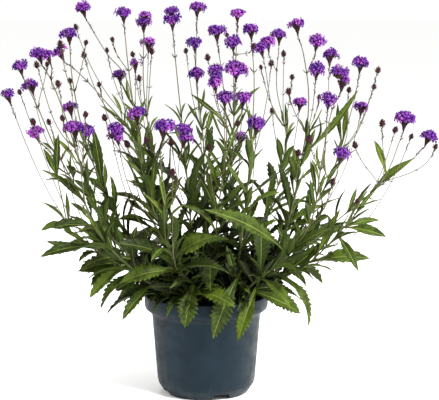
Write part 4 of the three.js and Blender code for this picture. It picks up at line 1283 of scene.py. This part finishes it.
stemLook = {
    "wood": "#2b220d", "low": "#3a4918", "high": "#424821", "blush": "#3a2e1b", "pale": "#626338",
    "paint": {"Roughness": 0.5, "Specular IOR Level": 0.4},
    "stretch": {"Scale": (1, 1, 0.12)}, "streak": {"Scale": metre / 1.2},
    "bump": {"Strength": 0.4, "Distance": 0.1 / metre},
}


def stemMaterial(look):
    # stem skin, ridged along its growth: green, browner and redder towards the top, woody at the foot
    material, tree, output = newMaterial("ridged stem skin")
    place, tone, where = carriedBy(tree)
    body = addNode(tree, "ValToRGB", {"stops": [(0, look["wood"]), (0.06, look["low"]), (0.6, look["high"]),
                                                (1, look["blush"])]}, {0: place[0]})
    stretched = addNode(tree, "Mapping", look["stretch"], {"Vector": where})
    streak = addNode(tree, "TexNoise", look["streak"], {"Vector": stretched})
    streak = addNode(tree, "MapRange", {**easing, 1: 0.4, 2: 0.65}, {0: streak})
    for amount, share, colour in ((streak, 0.3, "pale"), (tone, 0.2, "blush")):
        amount = addNode(tree, "Math", {"operation": "MULTIPLY", 1: share}, {0: amount})
        body = addNode(tree, "Mix", {**mixing, 7: look[colour]}, {0: amount, 6: body})
    bump = addNode(tree, "Bump", look["bump"], {"Height": streak})
    addNode(tree, "BsdfPrincipled", look["paint"], {"Base Color": body, "Normal": bump}, output)
    return material


bractLook = {
    "foot": "#20200e", "dark": "#20070c", "red": "#3a0c19", "violet": "#340d3a", "down": "#3a2a22",
    "paint": {"Roughness": 0.6, "Specular IOR Level": 0.15},
    "hairs": {"Scale": metre / 0.5}, "bump": {"Strength": 0.3, "Distance": 0.1 / metre},
}


def bractMaterial(look):
    # papery bracts and calyces, downy: dark maroon with a greener foot and almost no gloss
    material, tree, output = newMaterial("papery bract and calyx")
    place, tone, where = carriedBy(tree)
    body = addNode(tree, "ValToRGB", {"stops": [(0, look["foot"]), (0.22, look["red"]), (0.6, look["dark"]),
                                                (1, look["violet"])]}, {0: tone})
    down = addNode(tree, "TexNoise", look["hairs"], {"Vector": where})
    green = addNode(tree, "MapRange", {**easing, 1: 0, 2: 0.6, 3: 0.55, 4: 0}, {0: place[0]})
    grey = addNode(tree, "MapRange", {**easing, 1: 0.45, 2: 0.75, 4: 0.2}, {0: down})
    for amount, colour in ((green, "foot"), (grey, "down")):
        body = addNode(tree, "Mix", {**mixing, 7: look[colour]}, {0: amount, 6: body})
    bump = addNode(tree, "Bump", look["bump"], {"Height": down})
    addNode(tree, "BsdfPrincipled", look["paint"], {"Base Color": body, "Normal": bump}, output)
    return material


hairLook = {"Base Color": "#b9b89a", "Roughness": 0.4}


def hairMaterial(look):
    # stiff plant hairs: pale and slightly shiny, so that they catch the light along the stems
    material, tree, output = newMaterial("stiff plant hair")
    addNode(tree, "BsdfPrincipled", look, {}, output)
    return material


petalLook = {
    "deep": "#350d6c", "full": "#5f1b80", "pale": "#a74cae", "throat": "#26041f", "edge": "#cb9fe2",
    "glow": "#a040d8", "glowShare": 0.5, "through": 0.35,
    "paint": {"Roughness": 0.55, "Specular IOR Level": 0.12}, "vein": {"Scale": metre / 0.8},
}


def petalMaterial(look):
    # fresh petal, thin and softly veined: violet, darkened in the throat partly as its own colour and partly
    # as painted shade, pale at the rim, with light through it
    material, tree, output = newMaterial("fresh petal")
    place, tone, where = carriedBy(tree)
    body = addNode(tree, "ValToRGB", {"stops": [(0, look["deep"]), (0.5, look["full"]), (1, look["pale"])]},
                   {0: tone})
    # the throat, darkened partly as painted shade in its recess, the rim and the veins
    inner = addNode(tree, "MapRange", {**easing, 1: 0, 2: 0.4, 3: 0.85, 4: 0}, {0: place[0]})
    outer = addNode(tree, "MapRange", {**easing, 1: 0.66, 2: 1, 4: 0.4}, {0: place[0]})
    vein = addNode(tree, "TexNoise", look["vein"], {"Vector": where})
    vein = addNode(tree, "MapRange", {**easing, 1: 0.4, 2: 0.7, 4: 0.2}, {0: vein})
    for amount, colour in ((inner, "throat"), (outer, "edge"), (vein, "deep")):
        body = addNode(tree, "Mix", {**mixing, 7: look[colour]}, {0: amount, 6: body})
    paint = addNode(tree, "BsdfPrincipled", look["paint"], {"Base Color": body})
    light = addNode(tree, "Mix", {**mixing, 0: look["glowShare"], 7: look["glow"]}, {6: body})
    light = addNode(tree, "BsdfTranslucent", links={"Color": light})
    addNode(tree, "MixShader", {0: look["through"]}, {1: paint, 2: light}, output)
    return material


leafSkin, stemSkin, bractSkin = leafMaterial(leafLook), stemMaterial(stemLook), bractMaterial(bractLook)
hairSkin, petalSkin = hairMaterial(hairLook), petalMaterial(petalLook)


def drawsFor(name, more=0):
    # each piece has its own random draws, from the letters of its name
    return np.random.default_rng(sum(map(ord, name)) + more)


# Small leaves fill in first. Then leaves with many others outside and above them are darkened as painted
# shade, the shade that the foliage around them casts.
leafTones = {"out": 32, "above": 12, "reach": 36, "middle": 0.65, "crowded": 92,
             "open": 0.69, "dark": 0.97, "height": 0.04, "spread": 0.17, "inner": 0.25}
for name, stems in plants.items():
    rng = drawsFor(name)
    longLeaves(name, stems)
    for stem in stems:
        stem["leaves"] += tuftLeaves(stem, rng)
allLeaves = [leaf for stem in allStems for leaf in stem["leaves"]]
for leaf in allLeaves:
    middle = (1 - leafTones["middle"]) * leaf["base"] + leafTones["middle"] * leaf["tip"]
    beyond = middle + leafTones["above"] * up + leafTones["out"] * unit(middle * [1, 1, 0])
    leaf["crowd"] = (np.linalg.norm(filled["places"] - beyond, axis=1) < leafTones["reach"]).sum()
crowded = np.percentile([leaf["crowd"] for leaf in allLeaves], leafTones["crowded"])

# The shoots: for each, one piece of leaves and one of stems, collar, bracts, hairs and closed heads
for name, stems in plants.items():
    rng = drawsFor(name, 1)
    blades = []
    for leaf in [leaf for stem in stems for leaf in stem["leaves"]]:
        # painted shade: a crowded leaf's tone is lowered, and low inner leaves near the soil are lowered
        # further
        tone = (leafTones["open"] + leafTones["height"] * leaf["height"] + rng.normal() * leafTones["spread"]
                - leafTones["dark"] * leaf["crowd"] / crowded)
        tone -= leafTones["inner"] * leaf.get("inner", False)
        blades.append(leafBatch(leaf, min(max(tone, 0), 1), rng))
    makePiece("leaves_" + name, blades, [leafSkin], ["shoot_" + name])
    parts = [collarBatch(shoots[name]["crown"], rng)]
    for stem in stems:
        parts += stemBatches(stem, rng)
        for bud in stem["buds"]:
            parts += budBatches(bud["place"], bud["face"], rng)
    makePiece("growth_" + name, parts, [stemSkin, bractSkin, hairSkin], ["shoot_" + name])
print("shoots grown")

# The heads: one piece for each cluster
for name, stems in plants.items():
    serial = 0
    for stem in stems:
        for group in sorted({head["group"] for head in stem["heads"]}):
            serial += 1
            label = name + "_" + str(serial)
            rng = drawsFor(label, 7 * serial)
            parts = []
            for head in [head for head in stem["heads"] if head["group"] == group]:
                parts += floretBatches(head, floretForm["fading"].get(label, 1), rng)
                if head["stands"]:
                    foot, top = calyxFoot(head["place"], head["radius"], head["face"])
                    parts += coneBatches(foot, top, head["radius"], head["face"], rng)
            makePiece("florets_" + label, parts, [petalSkin, bractSkin], ["bloom_" + label])
print("heads in flower")


# The pot: a lathe of its wall with rounded corners, and four drain notches cut in the foot
potForm = {
    # outside from the middle of the floor to the rim, then down the inside
    "profile": [[0, 0], [9, 0], [10.5, 3.2], [37.5, 3.2], [39, 0], [44, 0], [47.4, 5], [50.4, 9.5],
                [51.5, 14], [57.2, 83], [58.8, 85.5], [61.6, 87.6], [64.1, 89.6], [65, 93], [65, 103.3],
                [64.3, 104], [63.4, 104], [63.1, 93], [60, 89.2], [55.6, 83], [49.9, 14], [46.4, 4.8],
                [0, 4.8]],
    "fillet": 0.5, "filletMost": 0.4, "segments": 144, "crease": 38,
    "notches": 4, "notchTurn": 20.5, "notchFrom": 37, "notchTo": 60,
    "notch": [[-11, -1], [11, -1], [8.3, 4.8], [7.6, 6], [6.2, 6.5], [-6.2, 6.5], [-7.6, 6], [-8.3, 4.8]],
}


def rounded(profile, fillet, most):
    # each corner between two edges becomes three points of a small arc, which takes at most a share of each
    profile = np.array(profile, float)
    result = [profile[0]]
    for before, corner, after in zip(profile, profile[1:], profile[2:]):
        a, b = before - corner, after - corner
        reach = min(fillet, np.linalg.norm(a) * most, np.linalg.norm(b) * most)
        start, end = corner + unit(a) * reach, corner + unit(b) * reach
        result += [start, (start + end) / 4 + corner / 2, end]
    return np.array(result + [profile[-1]])


def lathed(profile, segments):
    # points and triangles of a closed lathe whose profile starts and ends on the axis
    profile = np.asarray(profile)
    angles = 2 * np.pi * np.arange(segments) / segments
    rings = profile[1:-1]
    points = np.stack([rings[:, :1] * np.cos(angles), rings[:, :1] * np.sin(angles),
                       np.repeat(rings[:, 1:], segments, 1)], -1).reshape(-1, 3)
    last, bottom, top = (len(rings) - 1) * segments, len(points), len(points) + 1
    sides = [(j, (j + 1) % segments) for j in range(segments)]
    ends = [[bottom, after, j] for j, after in sides] + [[top, last + j, last + after] for j, after in sides]
    points = np.vstack([points, [0, 0, profile[0][1]], [0, 0, profile[-1][1]]])
    return points, np.concatenate(ringFaces(len(rings), segments) + [ends])


def notchCutter(form, turn):
    # a closed prism that stands out from the pot's foot
    count = len(form["notch"])
    points = [[side * math.cos(turn) + out * math.sin(turn), side * math.sin(turn) - out * math.cos(turn), z]
              for out in (form["notchFrom"], form["notchTo"]) for side, z in form["notch"]]
    faces = [list(range(count))[::-1], list(range(count, 2 * count))]
    faces += [[j, (j + 1) % count, count + (j + 1) % count, count + j] for j in range(count)]
    mesh = bpy.data.meshes.new("cutter")
    mesh.from_pydata([[c / metre for c in p] for p in points], [], faces)
    cutter = bpy.data.objects.new("cutter", mesh)
    bpy.context.scene.collection.objects.link(cutter)
    return cutter


potLook = {
    "plastic": "#080f15", "worn": "#16232c", "dust": "#4a4034",
    "paint": {"Specular IOR Level": 0.31, "Specular Tint": "#a6c6da"}, "rough": {3: 0.44, 4: 0.62},
    "cloud": {"Scale": metre / 26, "Detail": 4}, "rub": {"Scale": metre / 9, "Detail": 4},
    "stretch": {"Scale": (1, 1, 0.2)}, "streak": {"Scale": metre / 5, "Detail": 5},
    "grain": {"Scale": metre / 0.35, "Detail": 3}, "bump": {"Strength": 0.5, "Distance": 0.02 / metre},
}


def potMaterial(look):
    # moulded polypropylene: dark blue-grey with a fine grain, soft gloss, rubbed edges and some soil dust
    material, tree, output = newMaterial("moulded polypropylene")
    where = addNode(tree, "TexCoord").outputs["Object"]
    height = addNode(tree, "SeparateXYZ", links={0: where}).outputs[2]
    cloud = addNode(tree, "TexNoise", look["cloud"], {"Vector": where})
    cloud = addNode(tree, "MapRange", {**easing, 1: 0.35, 2: 0.7, 4: 0.22}, {0: cloud})
    edge = addNode(tree, "NewGeometry").outputs["Pointiness"]
    edge = addNode(tree, "MapRange", {**easing, 1: 0.52, 2: 0.6, 4: 0.5}, {0: edge})
    # dust lies in streaks under the rim and at the foot
    streak = addNode(tree, "Mapping", look["stretch"], {"Vector": where})
    streak = addNode(tree, "TexNoise", look["streak"], {"Vector": streak})
    streak = addNode(tree, "MapRange", {**easing, 1: 0.5, 2: 0.8}, {0: streak})
    foot = addNode(tree, "MapRange", {**easing, 1: 0, 2: 0.02, 3: 0.35, 4: 0}, {0: height})
    top = addNode(tree, "MapRange", {**easing, 1: 0.07, 2: 0.104, 4: 0.2}, {0: height})
    dust = addNode(tree, "Math", {"operation": "ADD"}, {0: foot, 1: top})
    dust = addNode(tree, "Math", {"operation": "MULTIPLY"}, {0: dust, 1: streak})
    body = addNode(tree, "Mix", {**mixing, 6: look["plastic"], 7: look["worn"]}, {0: cloud})
    for amount, colour in ((edge, "worn"), (dust, "dust")):
        body = addNode(tree, "Mix", {**mixing, 7: look[colour]}, {0: amount, 6: body})
    rub = addNode(tree, "TexNoise", look["rub"], {"Vector": where})
    rub = addNode(tree, "MapRange", {**easing, 1: 0.3, 2: 0.7, **look["rough"]}, {0: rub})
    grain = addNode(tree, "TexNoise", look["grain"], {"Vector": where})
    bump = addNode(tree, "Bump", look["bump"], {"Height": grain})
    addNode(tree, "BsdfPrincipled", look["paint"], {"Base Color": body, "Roughness": rub, "Normal": bump},
            output)
    return material


def makePot(form, material):
    points, faces = lathed(rounded(form["profile"], form["fillet"], form["filletMost"]), form["segments"])
    pot = makePiece("moulded_pot", [batchOf(points, faces, 0)], [material], ["pot"])
    cutters = [notchCutter(form, math.radians(form["notchTurn"] + 360 / form["notches"] * k))
               for k in range(form["notches"])]
    for cutter in cutters:
        modifier = pot.modifiers.new("notch", "BOOLEAN")
        modifier.operation, modifier.solver, modifier.object = "DIFFERENCE", "EXACT", cutter
    cut = bpy.data.meshes.new_from_object(pot.evaluated_get(bpy.context.evaluated_depsgraph_get()))
    pot.modifiers.clear()
    pot.data = cut
    pot.data.set_sharp_from_angle(angle=math.radians(form["crease"]))
    for cutter in cutters:
        bpy.data.objects.remove(cutter)


makePot(potForm, potMaterial(potLook))
print("pot moulded")


# The compost: a lumpy top with crumbs, fibres and a few white grains of perlite
soilForm = {
    "profile": [[0, 5.1], [45.75, 5.1], [49.45, 14], [55.15, 83], [59.55, 89.2]], "topRadius": 62.65,
    "edgeHeight": 93.5, "edgeWide": 4, "rings": 46, "segments": 180, "seed": 5,
    # a slow swell with a ripple over it: height, widths across and along, the ripple's share and widths
    "swell": 1.6, "swellWide": (7, 8), "swellFrom": 1, "ripple": 0.5, "rippleWide": (3.1, 4.3),
    # warped lumps: height, turns per mm, and the warp's strength and turns
    "lump": 0.9, "lumpTurns": (1.7, 1.9), "warp": 2, "warpTurns": (0.9, 0.8), "uneven": 0.22,
    # how many, their sizes, and how deep they lie; then how flat their edges are and how uneven they are
    "crumbs": (900, (0.6, 2.0), 0.3), "perlite": (45, (0.7, 1.5), 0.7), "crumbFlat": 0.92,
    "crumbUneven": (0.55, 1.1), "edgeFree": 2.5,
    "fibres": 170, "fibreUp": 0.6, "fibreLong": (6, 16), "fibreThick": (0.12, 0.3), "fibreBend": 0.22,
    "fibrePoints": 6, "fibreSides": 4, "fibreLie": [1, 1, 0.22], "bendLie": [1, 1, 0.2], "fibreArc": 0.1,
    "fibreEdge": 1,
}


def soilHeight(x, y):
    form = soilForm
    wide, long = form["swellWide"]
    rippleWide, rippleLong = form["rippleWide"]
    swell = np.sin(x / wide + form["swellFrom"]) * np.cos(y / long)
    ripple = form["ripple"] * np.sin(x / rippleWide - y / rippleLong)
    return growth["soilTop"] + form["swell"] * (swell + ripple)


def crumbShape():
    # an octahedron whose edges are split once
    corners = np.array([[1, 0, 0], [-1, 0, 0], [0, 1, 0], [0, -1, 0], [0, 0, 1], [0, 0, -1]], float)
    shell, faces, seen = [*corners], [], {}

    def middle(a, b):
        key = (min(a, b), max(a, b))
        if key not in seen:
            seen[key] = len(shell)
            shell.append(unit(shell[a] + shell[b]) * soilForm["crumbFlat"])
        return seen[key]

    for i in (0, 1):
        for j in (2, 3):
            for k in (4, 5):
                a, b, c = (i, j, k) if (i + j + k) % 2 == 0 else (i, k, j)
                ab, bc, ca = middle(a, b), middle(b, c), middle(c, a)
                faces += [[a, ab, ca], [ab, b, bc], [ca, bc, c], [ab, bc, ca]]
    return np.array(shell), np.array(faces)


def makeSoil(form):
    rng = np.random.default_rng(form["seed"])
    segments = form["segments"]
    radii = form["topRadius"] * (1 - np.arange(form["rings"]) / form["rings"])
    profile = form["profile"] + [[r, form["edgeHeight"]] for r in radii] + [[0, form["edgeHeight"]]]
    points, faces = lathed(profile, segments)
    top = slice(len(form["profile"]) * segments, len(points) - 2)
    x, y = points[top, 0], points[top, 1]
    ease = np.clip((form["topRadius"] - np.hypot(x, y)) / form["edgeWide"], 0, 1)
    (a, b), (warpA, warpB) = form["lumpTurns"], form["warpTurns"]
    lumps = form["lump"] * (np.sin(a * x + form["warp"] * np.sin(warpA * y))
                            * np.sin(b * y + form["warp"] * np.cos(warpB * x)))
    lumps = lumps + rng.normal(size=len(x)) * form["uneven"]
    points[top, 2] += ease * (soilHeight(x, y) + lumps - form["edgeHeight"])
    points[-1, 2] = soilHeight(0, 0)
    batches = [batchOf(points, faces, 0)]

    def spotsOn(count, deep):
        r = np.sqrt(rng.random(count)) * (form["topRadius"] - form["edgeFree"])
        angle = rng.random(count) * 2 * np.pi
        x, y = r * np.cos(angle), r * np.sin(angle)
        return np.stack([x, y, soilHeight(x, y) + deep], -1)

    # rough crumbs and perlite, each pushed out of shape in its own way
    shell, shellFaces = crumbShape()
    number = len(shell)
    for (count, sizes, deep), material in ((form["crumbs"], 0), (form["perlite"], 1)):
        size = rng.uniform(*sizes, count)
        shape = rng.uniform(*form["crumbUneven"], (count, number, 1)) * shell[None]
        points = shape * size[:, None, None] + spotsOn(count, deep)[:, None]
        steps = (np.arange(count) * number)[:, None, None]
        batches.append(batchOf(points.reshape(-1, 3), (shellFaces[None] + steps).reshape(-1, 3), material,
                               tone=np.repeat(rng.random(count), number)))
    t = np.linspace(-0.5, 0.5, form["fibrePoints"])[:, None]
    for spot in spotsOn(form["fibres"], form["fibreUp"]):
        way = unit(rng.normal(size=3) * form["fibreLie"])
        bend = unit(rng.normal(size=3) * form["bendLie"])
        long = rng.uniform(*form["fibreLong"])
        line = spot + way * long * t + bend * long * form["fibreBend"] * (t ** 2 - form["fibreArc"])
        line = line[np.hypot(line[:, 0], line[:, 1]) < form["topRadius"] - form["fibreEdge"]]
        if len(line) > 2:
            thick = np.full(len(line), rng.uniform(*form["fibreThick"]))
            batches.append(tubeBatch(line, thick, form["fibreSides"], 0, 2, rng.random()))
    return batches


soilLook = {
    "wet": "#1d150f", "dry": "#46372a", "fine": "#2b2018", "fibre": "#6e5535", "perlite": "#d8d5cb",
    "paint": {"Roughness": 0.9, "Specular IOR Level": 0.2}, "grainPaint": {"Roughness": 0.85},
    "damp": {"Scale": metre / 4, "Detail": 6}, "crumb": {"Scale": metre / 0.7, "Detail": 4},
    "stain": {"Scale": metre / 1.5, "Detail": 3}, "bump": {"Strength": 0.9, "Distance": 0.4 / metre},
}


def soilMaterials(look):
    # moist peat, crumbled: nearly black brown with drier, paler crumbs and no gloss
    peat, tree, output = newMaterial("moist peat")
    where = addNode(tree, "TexCoord").outputs["Object"]
    damp = addNode(tree, "TexNoise", look["damp"], {"Vector": where})
    damp = addNode(tree, "MapRange", {**easing, 1: 0.38, 2: 0.68}, {0: damp})
    body = addNode(tree, "Mix", {**mixing, 6: look["wet"], 7: look["dry"]}, {0: damp})
    fine = addNode(tree, "TexNoise", look["crumb"], {"Vector": where})
    dark = addNode(tree, "MapRange", {**easing, 1: 0.3, 2: 0.7, 4: 0.4}, {0: fine})
    body = addNode(tree, "Mix", {**mixing, 7: look["fine"]}, {0: dark, 6: body})
    bump = addNode(tree, "Bump", look["bump"], {"Height": fine})
    addNode(tree, "BsdfPrincipled", look["paint"], {"Base Color": body, "Normal": bump}, output)
    # expanded perlite: white, dusty and rough. Root fibre, dried: a dull brown
    skins = [peat]
    for title, colour in (("expanded perlite", "perlite"), ("dried root fibre", "fibre")):
        skin, tree, output = newMaterial(title)
        where = addNode(tree, "TexCoord").outputs["Object"]
        stain = addNode(tree, "TexNoise", look["stain"], {"Vector": where})
        stain = addNode(tree, "MapRange", {**easing, 1: 0.4, 2: 0.75, 4: 0.5}, {0: stain})
        body = addNode(tree, "Mix", {**mixing, 6: look[colour], 7: look["dry"]}, {0: stain})
        addNode(tree, "BsdfPrincipled", look["grainPaint"], {"Base Color": body}, output)
        skins.append(skin)
    return skins


makePiece("compost", makeSoil(soilForm), soilMaterials(soilLook), ["soil"])
print("compost filled in")

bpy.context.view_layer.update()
triangles = sum(len(piece.data.loop_triangles) for piece in bpy.data.objects if piece.type == "MESH")
print("triangles in all:", triangles)
